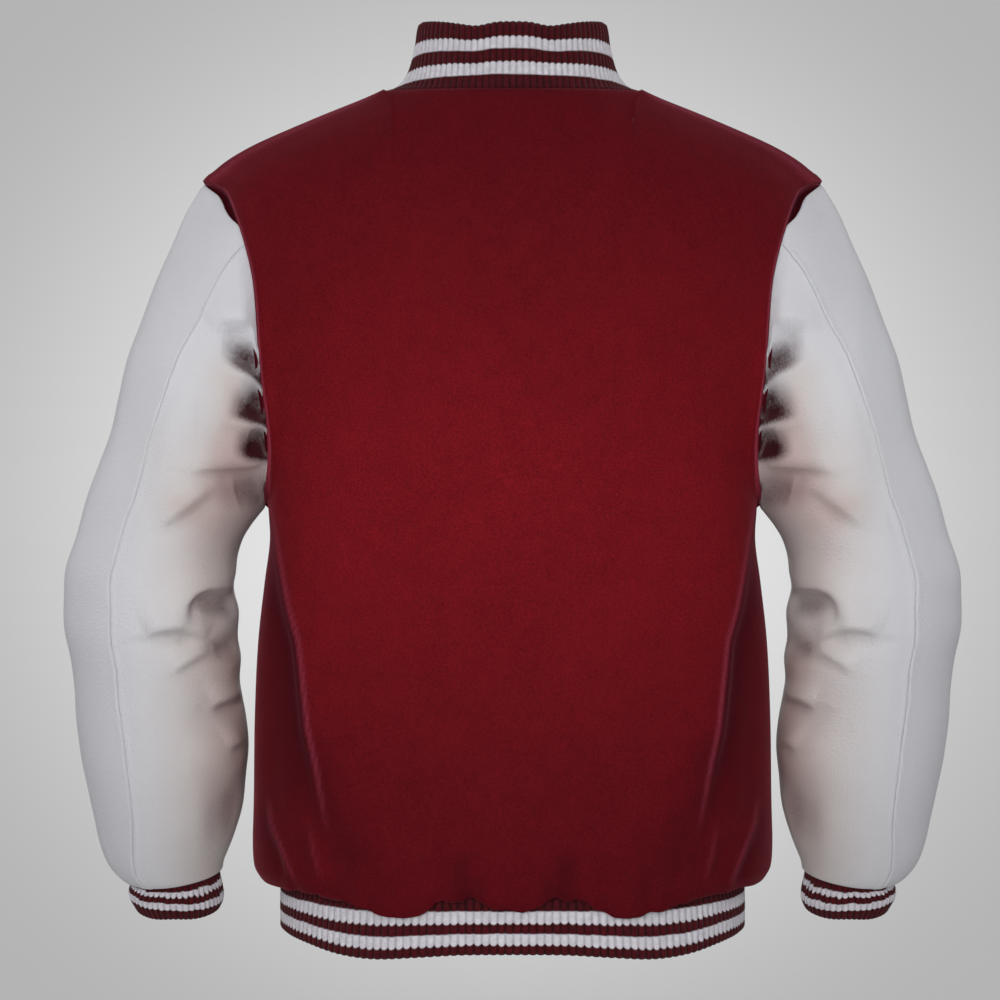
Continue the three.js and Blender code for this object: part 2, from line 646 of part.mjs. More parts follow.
// The wall of a body panel, with the data that its neighbours' edges are made from
function bodyWall(face, steps, nominal, recess) {
  const nominalNormals = gridNormals(nominal, false, -face);
  const outer = nominal.map((line, i) => line.map((point, j) => {
    const depth = i < LAP_START_ROW - 1 ? 0 : recess(steps[j]);
    return point.clone().addScaledVector(nominalNormals[i][j], -depth);
  }));
  const normals = gridNormals(outer, false, -face);
  const top = outer.length - 1;
  const atNeck = (j) => steps[j] === LAP || Math.abs(steps[j]) <= NECK_COLUMNS;
  const atSide = (j) => Math.abs(steps[j]) === SIDE_COLUMNS;
  const edges = { neck: [], hem: [] };
  const inner = outer.map((line, i) => line.map((point, j) => {
    let inward = normals[i][j].clone().negate();
    const onShoulder = !atNeck(j) || Math.abs(steps[j]) === NECK_COLUMNS;
    const seamed = (i <= UNDERARM_ROW && atSide(j)) || (i === top && onShoulder);
    if (seamed) {
      inward = level(inward);
    }
    let direction = inward;
    if (atSide(j) && i >= UNDERARM_ROW) {
      const shared = armhole[ringIndex(face * (ARMHOLE_ROWS - (i - UNDERARM_ROW)))];
      direction = steps[j] > 0 ? shared : mirrored(shared);
    } else if (i === 0 || (i === top && atNeck(j))) {
      const out = outwardAt(line, j, CENTRE, false);
      const squared = seamed ? level(out) : out;
      inward = i === 0 ? UP.clone() : inward;
      direction = mitre(inward, squared.clone().negate());
      const corner = face > 0 && Math.abs(steps[j]) === NECK_COLUMNS && i === top;
      (i === 0 ? edges.hem : edges.neck).push({ step: steps[j], point, direction, out: squared, corner });
    }
    return point.clone().addScaledVector(direction, mitreLength(direction, inward, WOOL));
  }));
  return { outer, inner, edges };
}

const LAP_RECESS = WOOL + 1.1;
const lapRecess = (step) => (step === LAP || step <= 1 ? LAP_RECESS : 0);

const back = bodyWall(1, backSteps, backFace, () => 0);
const frontLeft = bodyWall(-1, frontSteps, frontFace, () => 0);
const frontRight = bodyWall(-1, frontSteps, frontFace, lapRecess);

const mirroredGrid = (grid) => grid.map((line) => line.map(mirrored));
const mirroredEdge = (edge) => ({
  point: mirrored(edge.point),
  direction: mirrored(edge.direction),
  out: mirrored(edge.out),
});

// Edge of a whole neck or hem: from the left front round the back to the right front
function wholeEdge(name) {
  const fromMiddle = (edge) => edge.step !== LAP || name === 'hem';
  const left = frontLeft.edges[name].filter(fromMiddle);
  const right = frontRight.edges[name].filter(fromMiddle).map(mirroredEdge);
  const behind = [...back.edges[name]].reverse();
  return [...left, ...behind, ...right.reverse()];
}

// Sleeve walls, cut into a top and an under panel along the fore and hind seams
const endCentre = sleeve[sleeve.length - 1]
  .reduce((sum, point) => sum.add(point), new THREE.Vector3())
  .divideScalar(RING_STEPS);
const endEdges = sleeve[sleeve.length - 1].map((point, j, ring) => {
  const out = outwardAt(ring, j, endCentre, true);
  const inward = sleeveNormals[sleeve.length - 1][j].clone().negate();
  return { point, out, inward, direction: mitre(inward, out.clone().negate()) };
});

const sleeveOuter = sleeve.map((ring) => ring.map((point) => point.clone()));
const sleeveInner = sleeve.map((ring, i) => ring.map((point, j) => {
  const inward = sleeveNormals[i][j].clone().negate();
  if (i === 0) {
    const direction = armhole[j];
    const ahead = sleeve[1][j].clone().sub(point);
    const aside = ahead.addScaledVector(direction, -ahead.dot(direction)).normalize();
    const start = sleeveOuter[0][j];
    start.addScaledVector(direction, SLEEVE_INSET).addScaledVector(aside, ARMHOLE_GAP);
    return start.clone().addScaledVector(direction, mitreLength(direction, inward, LEATHER));
  }
  if (i === sleeve.length - 1) {
    const { direction } = endEdges[j];
    return point.clone().addScaledVector(direction, mitreLength(direction, inward, LEATHER));
  }
  return point.clone().addScaledVector(inward, LEATHER);
}));

function sleevePanel(firstStep, lastStep) {
  const columns = [];
  for (let step = firstStep; step <= lastStep; step += 1) {
    columns.push(ringIndex(step));
  }
  const cut = (grid) => grid.map((ring) => columns.map((column, place) => {
    const point = ring[column].clone();
    if (place > 0 && place < columns.length - 1) {
      return point;
    }
    const next = ring[(column + 1) % RING_STEPS];
    const before = ring[(column + RING_STEPS - 1) % RING_STEPS];
    const round = next.clone().sub(before).normalize();
    return point.addScaledVector(round, place === 0 ? HALF_GAP : -HALF_GAP);
  }));
  return { outer: cut(sleeveOuter), inner: cut(sleeveInner) };
}

const topPanel = sleevePanel(FORE_SEAM_STEP, HIND_SEAM_STEP);
const underPanel = sleevePanel(HIND_SEAM_STEP, RING_STEPS + FORE_SEAM_STEP);

// Collar and hem band follow a smooth line through their seam
const MERGE = 1;
function smoothLine(seam) {
  const kept = seam.filter((edge, i) => i === 0 || edge.outer.distanceTo(seam[i - 1].outer) > MERGE);
  const line = new THREE.CatmullRomCurve3(kept.map((edge) => edge.outer), false, 'centripetal');
  line.arcLengthDivisions = 1000;
  line.updateArcLengths();
  return (share) => ({
    base: line.getPointAt(share),
    out: line.getTangentAt(share).cross(UP).normalize(),
  });
}

function openAtCentre(seam) {
  seam[0].outer.x += CENTRE_GAP;
  seam[0].inner.x += CENTRE_GAP;
  seam[seam.length - 1].outer.x -= CENTRE_GAP;
  seam[seam.length - 1].inner.x -= CENTRE_GAP;
  return seam;
}

const neckSeam = openAtCentre(wholeEdge('neck').map((edge) => knitEdge(edge, UP)));
const neckLine = smoothLine(neckSeam);
const collarGeometry = ribbedGeometry(neckSeam, false, COLLAR_RIBS, COLLAR_ROWS.length, (row, share) => {
  const { base, out } = neckLine(share);
  const lean = COLLAR_ROWS[row];
  const endLean = out.y > 0 ? lean.back : lean.front;
  const inward = lean.side * out.x ** 2 + endLean * out.y ** 2;
  return { point: base.addScaledVector(UP, lean.rise).addScaledVector(out, -inward), out };
});

const hemSeam = wholeEdge('hem').map((edge) => knitEdge(edge, DOWN));
const hemLine = smoothLine(hemSeam);
const hemGeometry = ribbedGeometry(hemSeam, false, HEM_RIBS, HEM_ROWS.length, (row, share) => {
  const { base, out } = hemLine(share);
  const shape = HEM_ROWS[row];
  const step = shape.side * out.x ** 2 + shape.middle * out.y ** 2;
  return { point: base.addScaledVector(DOWN, shape.below).addScaledVector(out, step), out };
});

const cuffSeam = endEdges.map((edge) => knitEdge(edge, DOWN));
const FORE_ANGLE = 2 * Math.PI * FORE_SEAM_STEP / RING_STEPS;
const SMALL_TURN = 0.01;
const cuffGeometry = ribbedGeometry(cuffSeam, true, CUFF_RIBS, CUFF_ROWS.length, (row, share) => {
  const angle = FORE_ANGLE + 2 * Math.PI * share;
  const point = ringPoint(CUFF_ROWS[row], angle);
  const ahead = ringPoint(CUFF_ROWS[row], angle + SMALL_TURN);
  const out = ahead.sub(point).cross(UP).normalize();
  return { point, out };
});

// Materials
const wool = () => new THREE.MeshStandardMaterial({ color: 0x63161b, roughness: 0.95, metalness: 0 });
const leather = () => new THREE.MeshStandardMaterial({ color: 0xc4c0c0, roughness: 0.55, metalness: 0 });
const knit = () => new THREE.MeshStandardMaterial({ color: 0x4a1018, roughness: 0.9, metalness: 0 });
const snapMetal = () => new THREE.MeshStandardMaterial({
  color: 0x5a1a22, roughness: 0.35, metalness: 0.2,
});

const jacket = new THREE.Group();
function add(name, geometry, material) {
  const mesh = new THREE.Mesh(geometry, material);
  mesh.name = name;
  jacket.add(mesh);
  return mesh;
}

// Geometry of the right side, as the left one's mirror image
function mirroredGeometry(geometry) {
  const copy = geometry.clone();
  const places = copy.getAttribute('position');
  for (let i = 0; i < places.count; i += 1) {
    places.setX(i, -places.getX(i));
  }
  const index = Array.from(copy.getIndex().array);
  for (let i = 0; i < index.length; i += 3) {
    [index[i + 1], index[i + 2]] = [index[i + 2], index[i + 1]];
  }
  copy.setIndex(index);
  copy.computeVertexNormals();
  return copy;
}

add('back_panel', wallGeometry(back.outer, back.inner), wool());
add('front_left', wallGeometry(frontLeft.outer, frontLeft.inner), wool());
add('front_right', wallGeometry(mirroredGrid(frontRight.outer), mirroredGrid(frontRight.inner)), wool());
add('collar', collarGeometry, knit());
add('hem_band', hemGeometry, knit());
for (const [panel, part] of [[topPanel, 'top'], [underPanel, 'under']]) {
  const geometry = wallGeometry(panel.outer, panel.inner);
  add(`sleeve_left_${part}`, geometry, leather());
  add(`sleeve_right_${part}`, mirroredGeometry(geometry), leather());
}
add('cuff_left', cuffGeometry, knit());
add('cuff_right', mirroredGeometry(cuffGeometry), knit());

// Snap caps stand on the left front, over the lap
const snapProfile = [
  new THREE.Vector2(0, 0),
  new THREE.Vector2(SNAP_RADIUS, 0),
  new THREE.Vector2(SNAP_RADIUS, SNAP_HEIGHT * 0.5),
  new THREE.Vector2(SNAP_RADIUS * 0.8, SNAP_HEIGHT),
  new THREE.Vector2(0, SNAP_HEIGHT * 0.85),
];
const middleColumn = frontSteps.indexOf(0);
const frontLine = frontLeft.outer.map((line) => line[middleColumn]);
function frontSurfaceAt(z) {
  let i = BLOUSE_ROWS.length;
  while (i < frontLine.length - 2 && frontLine[i + 1].z < z) i += 1;
  const lower = frontLine[i];
  const upper = frontLine[i + 1];
  return mix(lower.y, upper.y, (z - lower.z) / (upper.z - lower.z));
}
for (let i = 0; i < SNAP_COUNT; i += 1) {
  const z = SNAP_TOP_Z - SNAP_PITCH * i;
  const high = frontSurfaceAt(z + SNAP_RADIUS);
  const low = frontSurfaceAt(z - SNAP_RADIUS);
  const snap = add(`snap_${i + 1}`, new THREE.LatheGeometry(snapProfile, SNAP_SIDES), snapMetal());
  const lean = Math.atan2(high - low, 2 * SNAP_RADIUS);
  const proud = Math.min(frontSurfaceAt(z), (high + low) / 2);
  snap.position.set(0, proud - SEAM_GAP / Math.cos(lean), z);
  snap.rotation.x = Math.PI - lean;
}

export default jacket;
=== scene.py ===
import math

import bpy
import numpy as np
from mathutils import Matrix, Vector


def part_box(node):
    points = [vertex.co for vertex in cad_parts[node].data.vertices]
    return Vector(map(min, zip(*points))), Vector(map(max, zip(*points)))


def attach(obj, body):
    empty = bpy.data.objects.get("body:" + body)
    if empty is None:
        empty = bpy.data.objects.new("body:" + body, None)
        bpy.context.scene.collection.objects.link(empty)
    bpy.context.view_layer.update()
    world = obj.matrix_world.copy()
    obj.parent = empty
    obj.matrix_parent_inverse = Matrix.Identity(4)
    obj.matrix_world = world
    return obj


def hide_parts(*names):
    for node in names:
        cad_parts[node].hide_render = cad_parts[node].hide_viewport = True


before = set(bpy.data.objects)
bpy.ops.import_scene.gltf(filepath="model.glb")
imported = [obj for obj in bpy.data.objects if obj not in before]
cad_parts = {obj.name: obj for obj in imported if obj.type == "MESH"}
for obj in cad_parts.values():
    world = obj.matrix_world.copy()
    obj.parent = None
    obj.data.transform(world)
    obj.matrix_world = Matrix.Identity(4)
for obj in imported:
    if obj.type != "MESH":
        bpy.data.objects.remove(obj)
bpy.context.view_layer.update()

# Varsity jacket, closed and filled out. Tables are in millimetres, as in the frame's own source.
# +Z is up, +Y the wearer's back, +X the wearer's left; the origin is the middle of the neck opening.
MM = 0.001

# Cloth
WOOL = 3.0
LEATHER = 1.6
KNIT = 2.6
RIB_RAISE = 1.35
HALF_GAP = 0.15
SEWN_GAP = 0.08
ARMHOLE_GAP = 0.6
SLEEVE_INSET = 1.2

# Body
NECK_HALF_WIDTH = 103.6
NECK_BACK_DEPTH = 73
NECK_FRONT_DEPTH = 98
NECK_BACK_DROP = 7
NECK_FRONT_DROP = 75
SHOULDER_TIP_X = 249
SHOULDER_TIP_Z = -72
UNDERARM_Z = -330
ARMHOLE_DEPTH = 72
FRONT_LAP = 14
LAP_RECESS = WOOL + 1.1
HEM_SEAM_Z = -618
FULLEST_Z = -592
BAND_HALF_WIDTH = 183
BAND_BACK_DEPTH = 134
BAND_FRONT_DEPTH = 132
SHOULDER_ROUND = 105
NECK_ROUND = 70
CROWN = 2.5
CORNER = 2.2
EDGE_BLEND = 3
TIP_FADE = 5

# Steps of the grid that the frame's pieces are made on; rows and columns below are counted in them
SIDE_COLUMNS = 10
NECK_COLUMNS = 4
BODY_ROWS = 8
ARMHOLE_ROWS = 10
RING_STEPS = 20
HIND_SEAM_STEP = 3
FORE_SEAM_STEP = -7

# Ribs
COLLAR_RIBS = 119
HEM_RIBS = 174
CUFF_RIBS = 47

# Shoulder line from the neck point out to the tip: distance from the middle, height
SHOULDER_LINE = [(103.6, 0), (146, -16.3), (186, -33), (211, -44.5), (231, -56.5), (249, -72)]

# Body sections by height: half width, depth of the back, depth of the front
BODY_SECTIONS = [
    (-600, 207.4, 149, 147),
    (-566, 206.4, 147, 147),
    (-500, 205.6, 142, 144),
    (-440, 203, 136, 141),
    (-390, 197.6, 130.5, 138.5),
    (-358, 193.6, 127, 136.5),
    (-330, 195, 124, 134.5),
    (-250, 197, 117.5, 130),
    (-165, 200, 111, 124),
    (-90, 224, 104, 116),
    (0, 249, 96, 108),
]

# Blouse over the hem band: share of the way out from the seam, height above it, share of the edge's lift
BLOUSE_ROWS = [
    (0, 0, 0),
    (0.25, -4, 0.4),
    (0.39, -13, 1),
    (0.6, -18, 1),
    (0.82, -11, 0.8),
    (0.965, 2, 0.3),
]

# Lift of the blouse's lower edge by distance from the middle
BLOUSE_EDGE = [
    (0, 0), (18, 2.3), (26, 8), (32, 11), (39, 7.5), (47, 8.5), (54, 7), (62, 1.6), (75, -4.5),
    (89, -5.5), (104, -4), (118, 0), (132, 4), (149, 6.5), (162, 7), (172, 8), (183, 8),
]

# Armhole edge: distance from the middle at each share of its height
ARMHOLE_EDGE = [
    (0, 195), (0.07, 192), (0.16, 190.2), (0.26, 191.8), (0.36, 195), (0.48, 197.8), (0.6, 200),
    (0.7, 203.5), (0.8, 210.5), (0.88, 217.8), (0.93, 223.2), (0.97, 230.5), (1, 248),
]

# Sleeve sections from the armhole down: outer x and z, inner x and z, half depth,
# set of the middle to the back, drop of the back side, and angle of the hind seam
SLEEVE_SECTIONS = [
    (249, -72, 195, -330, 72, 0, 0, 54),
    (261, -95, 196.5, -333, 73, 0, 0, 59),
    (272, -124, 199, -336, 74, 1, 0, 64.5),
    (285, -153, 201.5, -339, 75, 2, 0, 67),
    (297, -183, 204.5, -342.5, 76, 3, 0, 70),
    (307, -212, 207.5, -346, 76, 4, 0, 70.5),
    (313.5, -242, 210.5, -350, 75.5, 5, 0, 69),
    (320, -271, 213.5, -354.5, 75, 6, 0, 69),
    (330, -299, 216.5, -361, 74, 7, 0.01, 71),
    (339.5, -326, 219.5, -371.5, 73, 8, 0.02, 70),
    (347.5, -354, 220.5, -384, 72, 9, 0.03, 69),
    (355.5, -380, 221.8, -397, 71, 9, 0.05, 69),
    (357, -403, 217.2, -415, 70, 8, 0.07, 69),
    (356.5, -427, 218.2, -436, 69.5, 6, 0.09, 69),
    (352, -451, 216.2, -453, 69, 3, 0.11, 69),
    (350, -474, 217.6, -473, 68.5, -1, 0.13, 69),
    (349, -499, 214, -501, 68, -6, 0.15, 70),
    (346.5, -526, 212.5, -526, 66.5, -11, 0.17, 70),
    (342, -552, 215.5, -551, 63.5, -16, 0.18, 70),
    (338, -576, 219, -575, 59, -21, 0.19, 69),
    (334, -599, 226, -598, 52, -26, 0.2, 67),
    (326, -620, 233.5, -617, 44, -30, 0.2, 64),
    (313, -633, 235.5, -625, 37, -32, 0.2, 62),
]
SLEEVE_END = (303, -630, 240, -622, 32.5, -32, 0.2, 62)
CUFF_ROWS = [
    (303, -630, 240, -622, 32.5, -32, 0.2, 62),
    (310, -643, 235.5, -646, 36, -35, 0.2, 62),
    (303.5, -658, 239, -657.5, 33.5, -38, 0.2, 62),
]

# Collar: height above the neck line, inward lean at the sides, back and front
COLLAR_ROWS = [
    (0, 0, 0, 0),
    (2, 8.5, 0.8, 0.8),
    (7, 15.4, 2, 2),
    (16, 21.5, 4, 4),
    (33.6, 27.3, 6.5, 6.5),
    (44, 29, 8, 8),
    (51, 31.5, 9, 9.5),
]

# How far the collar's top edge stands above its mean height, by distance from the middle
COLLAR_WAVE = [(0, 2.4), (14, 2.0), (31, -0.6), (47, 1.4), (60, 3.2), (75, 4.4), (90, 4.6), (104, 3.8)]

# How far the hem band hangs above its mean height, by distance from the middle
HEM_SAG = [(0, -1.6), (40, -2.2), (75, -5), (105, -7.5), (132, -6), (160, -1), (183, 2)]

# Hem band: distance below the seam, step out at the sides and at the middle
HEM_ROWS = [(0, 0, 0), (9, 0.5, 2), (30, 1, 4.5), (49.5, 0.8, 6)]

# Sampling of the fine meshes, in samples per step of the frame's grid
BODY_ACROSS = 9
BODY_UP = 6
SLEEVE_ROUND = 9
SLEEVE_DOWN = 10
RIB_SAMPLES = 8
KNIT_ROWS = 22

# Edges: radius of each rolled edge, half the gap at the leather's seams, and where the extra rows and
# columns lie beside an edge, in steps of the grid
WOOL_ROLL = 2.2
LEATHER_ROLL = 0.8
LEATHER_HALF_GAP = 0.04
ROLL_STEPS = (0.012, 0.03, 0.055, 0.085)
SEAM_ROLL = 1.1
LAP_ROLL = 1.8
SLEEVE_END_ROLL = 0.9

SEED = 20


def mix(a, b, share):
    return a + (b - a) * share


def smooth(value):
    held = np.clip(value, 0.0, 1.0)
    return held ** 2 * (3 - 2 * held)


def curve(rows, column):
    """Smooth curve through one column of a table, read by its first column."""
    keys = np.array([row[0] for row in rows], float)
    values = np.array([row[column] for row in rows], float)
    last = len(keys) - 1
    before = np.maximum(np.arange(last + 1) - 1, 0)
    after = np.minimum(np.arange(last + 1) + 1, last)
    slopes = (values[after] - values[before]) / (keys[after] - keys[before])

    def read(at):
        x = np.clip(np.asarray(at, float), keys[0], keys[last])
        i = np.clip(np.searchsorted(keys, x) - 1, 0, last - 1)
        span = keys[i + 1] - keys[i]
        t = (x - keys[i]) / span
        start = (1 + 2 * t) * (1 - t) ** 2 * values[i]
        end = t ** 2 * (3 - 2 * t) * values[i + 1]
        lead = t * (1 - t) ** 2 * span * slopes[i]
        trail = t ** 2 * (t - 1) * span * slopes[i + 1]
        return start + end + lead + trail

    return read


shoulder_height = curve(SHOULDER_LINE, 1)
body_half = curve(BODY_SECTIONS, 1)
body_back = curve(BODY_SECTIONS, 2)
body_front = curve(BODY_SECTIONS, 3)
armhole_x = curve(ARMHOLE_EDGE, 1)
blouse_lift = curve(BLOUSE_EDGE, 1)


def unit(vectors):
    length = np.linalg.norm(vectors, axis=-1, keepdims=True)
    return vectors / np.maximum(length, 1e-9)


def grid_normals(grid, sign):
    """Outward unit normals of a grid of points, rows first."""
    return unit(np.cross(np.gradient(grid, axis=1), np.gradient(grid, axis=0))) * sign


def line_distance(points, x, z):
    """Distance to a line of points in front view, side of the line, and share of the way along."""
    best = np.full(x.shape, 1e9)
    side = np.zeros(x.shape)
    along = np.zeros(x.shape)
    lengths = [math.dist(points[i], points[i + 1]) for i in range(len(points) - 1)]
    whole = sum(lengths)
    passed = 0.0
    for (x1, z1), (x2, z2), length in zip(points, points[1:], lengths):
        run_x = x2 - x1
        run_z = z2 - z1
        t = np.clip(((x - x1) * run_x + (z - z1) * run_z) / length ** 2, 0, 1)
        away_x = x - x1 - t * run_x
        away_z = z - z1 - t * run_z
        distance = np.hypot(away_x, away_z)
        nearer = distance < best
        best = np.where(nearer, distance, best)
        side = np.where(nearer, run_x * away_z - run_z * away_x, side)
        along = np.where(nearer, (passed + t * length) / whole, along)
        passed += length
    return best, side, along


def bell(distance, width):
    return np.exp(-(distance / width) ** 2)


def end_taper(along, loss, power):
    """Share of a fold's height along its line: 1 in the middle, and less by the loss at both ends."""
    return 1 - loss * np.abs(2 * along - 1) ** power


def fold_height(fold, x, z):
    """Height of one fold. Its two widths are those of its left and right flanks, seen along its line."""
    points, left_width, right_width, depth = fold[:4]
    distance, side, along = line_distance(points, x, z)
    width = np.where(side > 0, left_width, right_width)
    return depth * end_taper(along, 0.55, 3) * bell(distance, width)


def tuck_height(tuck, x, z):
    """Height of a fold that hangs over: a ridge, wide to the left and steep to the right, and a trough."""
    points, wide, steep, hollow, depth = tuck[:5]
    distance, side, along = line_distance(points, x, z)
    fall = (1 + TROUGH_SHARE) * bell(distance, steep) - TROUGH_SHARE * bell(distance, hollow)
    return depth * end_taper(along, 0.8, 2.5) * np.where(side > 0, bell(distance, wide), fall)


def top_edge(face, x):
    """Neck line and shoulder seam as one top edge: its height and depth by distance from the middle."""
    across = np.abs(x) / NECK_HALF_WIDTH
    inside = across < 1
    round_off = np.sqrt(np.maximum(0, 1 - np.minimum(across, 1) ** 2))
    drop = NECK_BACK_DROP if face > 0 else NECK_FRONT_DROP
    depth = NECK_BACK_DEPTH if face > 0 else NECK_FRONT_DEPTH
    z = np.where(inside, -drop * round_off, shoulder_height(np.abs(x)))
    y = HALF_GAP + (depth - HALF_GAP) * round_off
    return z, y


def low_share(step):
    """Share of the way to the side seam at a column of the straight part."""
    return np.sin(np.pi / 2 * step / SIDE_COLUMNS)


def top_share(step):
    """Share of the way to the shoulder's tip at a column of the top edge."""
    size = np.abs(step)
    neck_x = NECK_HALF_WIDTH * np.sin(np.pi / 2 * np.minimum(size, NECK_COLUMNS) / NECK_COLUMNS)
    beyond = np.clip((size - NECK_COLUMNS) / (SIDE_COLUMNS - NECK_COLUMNS), 0, 1)
    return np.sign(step) * (neck_x + (SHOULDER_TIP_X - NECK_HALF_WIDTH) * beyond) / SHOULDER_TIP_X


# Rows of the body: the blouse, the straight part up to the underarm, and the armhole's height
FULLEST_ROW = len(BLOUSE_ROWS)
UNDERARM_ROW = FULLEST_ROW + BODY_ROWS
TOP_ROW = UNDERARM_ROW + ARMHOLE_ROWS
STRAIGHT_PITCH = (UNDERARM_Z - FULLEST_Z) / BODY_ROWS


def blouse_table():
    """Rows of the blouse and of the start of the straight part: row, half width, height, lift, step out."""
    rows = []
    for i, (out, up, lift) in enumerate(BLOUSE_ROWS):
        half = mix(BAND_HALF_WIDTH, float(body_half(FULLEST_Z)), out)
        rows.append((i, half, HEM_SEAM_Z + up, lift, out))
    for i in range(2):
        z = FULLEST_Z + i * STRAIGHT_PITCH
        rows.append((FULLEST_ROW + i, float(body_half(z)), z, 0, 1))
    return rows


BLOUSE_TABLE = blouse_table()
blouse_half = curve(BLOUSE_TABLE, 1)
blouse_z = curve(BLOUSE_TABLE, 2)
blouse_share = curve(BLOUSE_TABLE, 3)
blouse_out = curve(BLOUSE_TABLE, 4)


def body_row(v):
    """Side width, height, lift, step out, share of the armhole's height and its edge depth at a row."""
    straight_z = FULLEST_Z + (v - FULLEST_ROW) * STRAIGHT_PITCH
    turn = np.pi * np.clip((v - UNDERARM_ROW) / ARMHOLE_ROWS, 0, 1)
    share = (1 - np.cos(turn)) / 2
    edge = np.maximum(HALF_GAP, ARMHOLE_DEPTH * np.sin(turn))
    low = v < FULLEST_ROW
    high = v > UNDERARM_ROW
    half = np.where(low, blouse_half(v), np.where(high, armhole_x(share), body_half(straight_z)))
    z = np.where(low, blouse_z(v), np.where(high, UNDERARM_Z, straight_z))
    lift = np.where(low, blouse_share(v), 0)
    out = np.where(low, np.clip(blouse_out(v), 0, 1), 1)
    return half, z, lift, out, share, edge


def body_point(face, v, low, top):
    """Outer face of a body panel before folds, for arrays of rows and columns."""
    half, row_z, lift, out, height_share, row_edge = body_row(v)
    share = mix(low, top, smooth(height_share))
    x = share * half
    edge_z, edge_y = top_edge(face, top * SHOULDER_TIP_X)
    across = np.minimum(np.abs(share), 1)
    z = row_z + (edge_z - UNDERARM_Z) * height_share + lift * blouse_lift(np.abs(x))
    band_depth = BAND_BACK_DEPTH if face > 0 else BAND_FRONT_DEPTH
    full_depth = body_back(z) if face > 0 else body_front(z)
    depth = mix(band_depth, full_depth, out)
    flank = depth * (1 - across ** CROWN) ** (1 / CORNER)
    side = (flank ** EDGE_BLEND + row_edge ** EDGE_BLEND) ** (1 / EDGE_BLEND)
    inner = np.abs(top) * SHOULDER_TIP_X / NECK_HALF_WIDTH
    reach = mix(NECK_ROUND, SHOULDER_ROUND, smooth(inner)) * (1 - np.abs(top) ** TIP_FADE) + 1
    turned = np.sqrt(1 - (1 - np.clip((edge_z - z) / reach, 0, 1)) ** 2)
    y = face * mix(edge_y, side, turned)
    return np.stack([x, y, z], axis=-1)


# Depth of the trough under a fold that hangs over, as a share of the fold's height
TROUGH_SHARE = 0.85

# Folds: line of places in front view, widths of the left and right flanks, and height out of the cloth
BACK_FOLDS = [
    ([(190, -440), (186, -560)], 12, 12, -4),
    ([(205, -250), (170, -215)], 16, 16, -3),
    ([(186, -300), (150, -262)], 9, 15, -1.6),
    ([(176, -545), (160, -592)], 9, 13, 2.4),
    ([(60, -90), (20, -150), (8, -230)], 30, 30, -0.8),
    ([(118, -480), (104, -560)], 16, 20, -1.2),
]
FRONT_FOLDS = [
    ([(188, -440), (184, -560)], 14, 14, -4),
    ([(200, -265), (160, -235)], 18, 18, -4),
    ([(120, -560), (108, -600)], 14, 14, -3),
    ([(182, -310), (140, -285)], 10, 15, -1.8),
    ([(86, -500), (74, -575)], 14, 18, -1.5),
]

# Folds that hang over. The line's left flank is wide and its right one steep; then come the widths
# of the left flank, the steep flank and the trough beyond it, and the height.
BACK_TUCKS = [
    (
        [(141, -580), (151, -527), (157, -502), (165, -435), (173.6, -409), (185, -357), (194, -318)],
        26, 7, 17, 5.2,
    ),
    ([(166, -622), (176, -600), (187, -577), (190, -558)], 10, 4, 8, 3.5),
    ([(146, -616), (152, -596), (156, -574)], 8, 5, 8, 1.8),
]
FRONT_TUCKS = [
    ([(150, -585), (158, -520), (170, -430), (190, -345)], 28, 8, 18, 4.6),
]

# Painted shade on the back above the hem: line of places, width and strength
BACK_SHADES = [
    ([(40, -602), (37, -624)], 9, 0.6),
    ([(27, -612), (26, -626)], 6, 0.4),
    ([(150, -522), (140, -560), (122, -598)], 17, 0.5),
    ([(182, -440), (180, -560)], 10, 0.3),
    ([(104, -604), (98, -620)], 10, 0.25),
]

# Folds of the left sleeve. The last number is the half that each lies on: 1 for the back, -1 for the front
SLEEVE_FOLDS = [
    ([(184, -222), (204, -218), (218, -209)], 9, 7, -11, 1),
    ([(186, -240), (198, -233), (216, -226)], 5, 5, 5, 1),
    ([(180, -252), (206, -250)], 10, 9, -13, 1),
    ([(184, -269), (212, -267)], 5, 5, 4.5, 1),
    ([(180, -284), (205, -281)], 9, 8, -11, 1),
    ([(196, -318), (216, -322)], 12, 12, -6, 1),
    ([(214, -409), (244, -412)], 10, 10, -5, 1),
    ([(222, -520), (240, -540)], 20, 20, 4, 1),
    ([(216, -440), (232, -446)], 9, 9, -4, 1),
    ([(222, -556), (226, -590)], 7, 7, -3, 1),
    ([(234, -560), (238, -600)], 8, 8, -2, 1),
    ([(248, -186), (262, -240), (268, -300)], 22, 22, 2.5, 1),
    ([(278, -158), (270, -177), (273, -226)], 5, 9, 1.8, 1),
    ([(196, -222), (246, -205)], 14, 14, -7, -1),
    ([(200, -270), (262, -282)], 14, 14, -5, -1),
    ([(216, -392), (300, -410)], 14, 14, -8, -1),
    ([(216, -430), (290, -424)], 12, 12, -7, -1),
    ([(218, -470), (270, -484)], 13, 13, -5, -1),
]
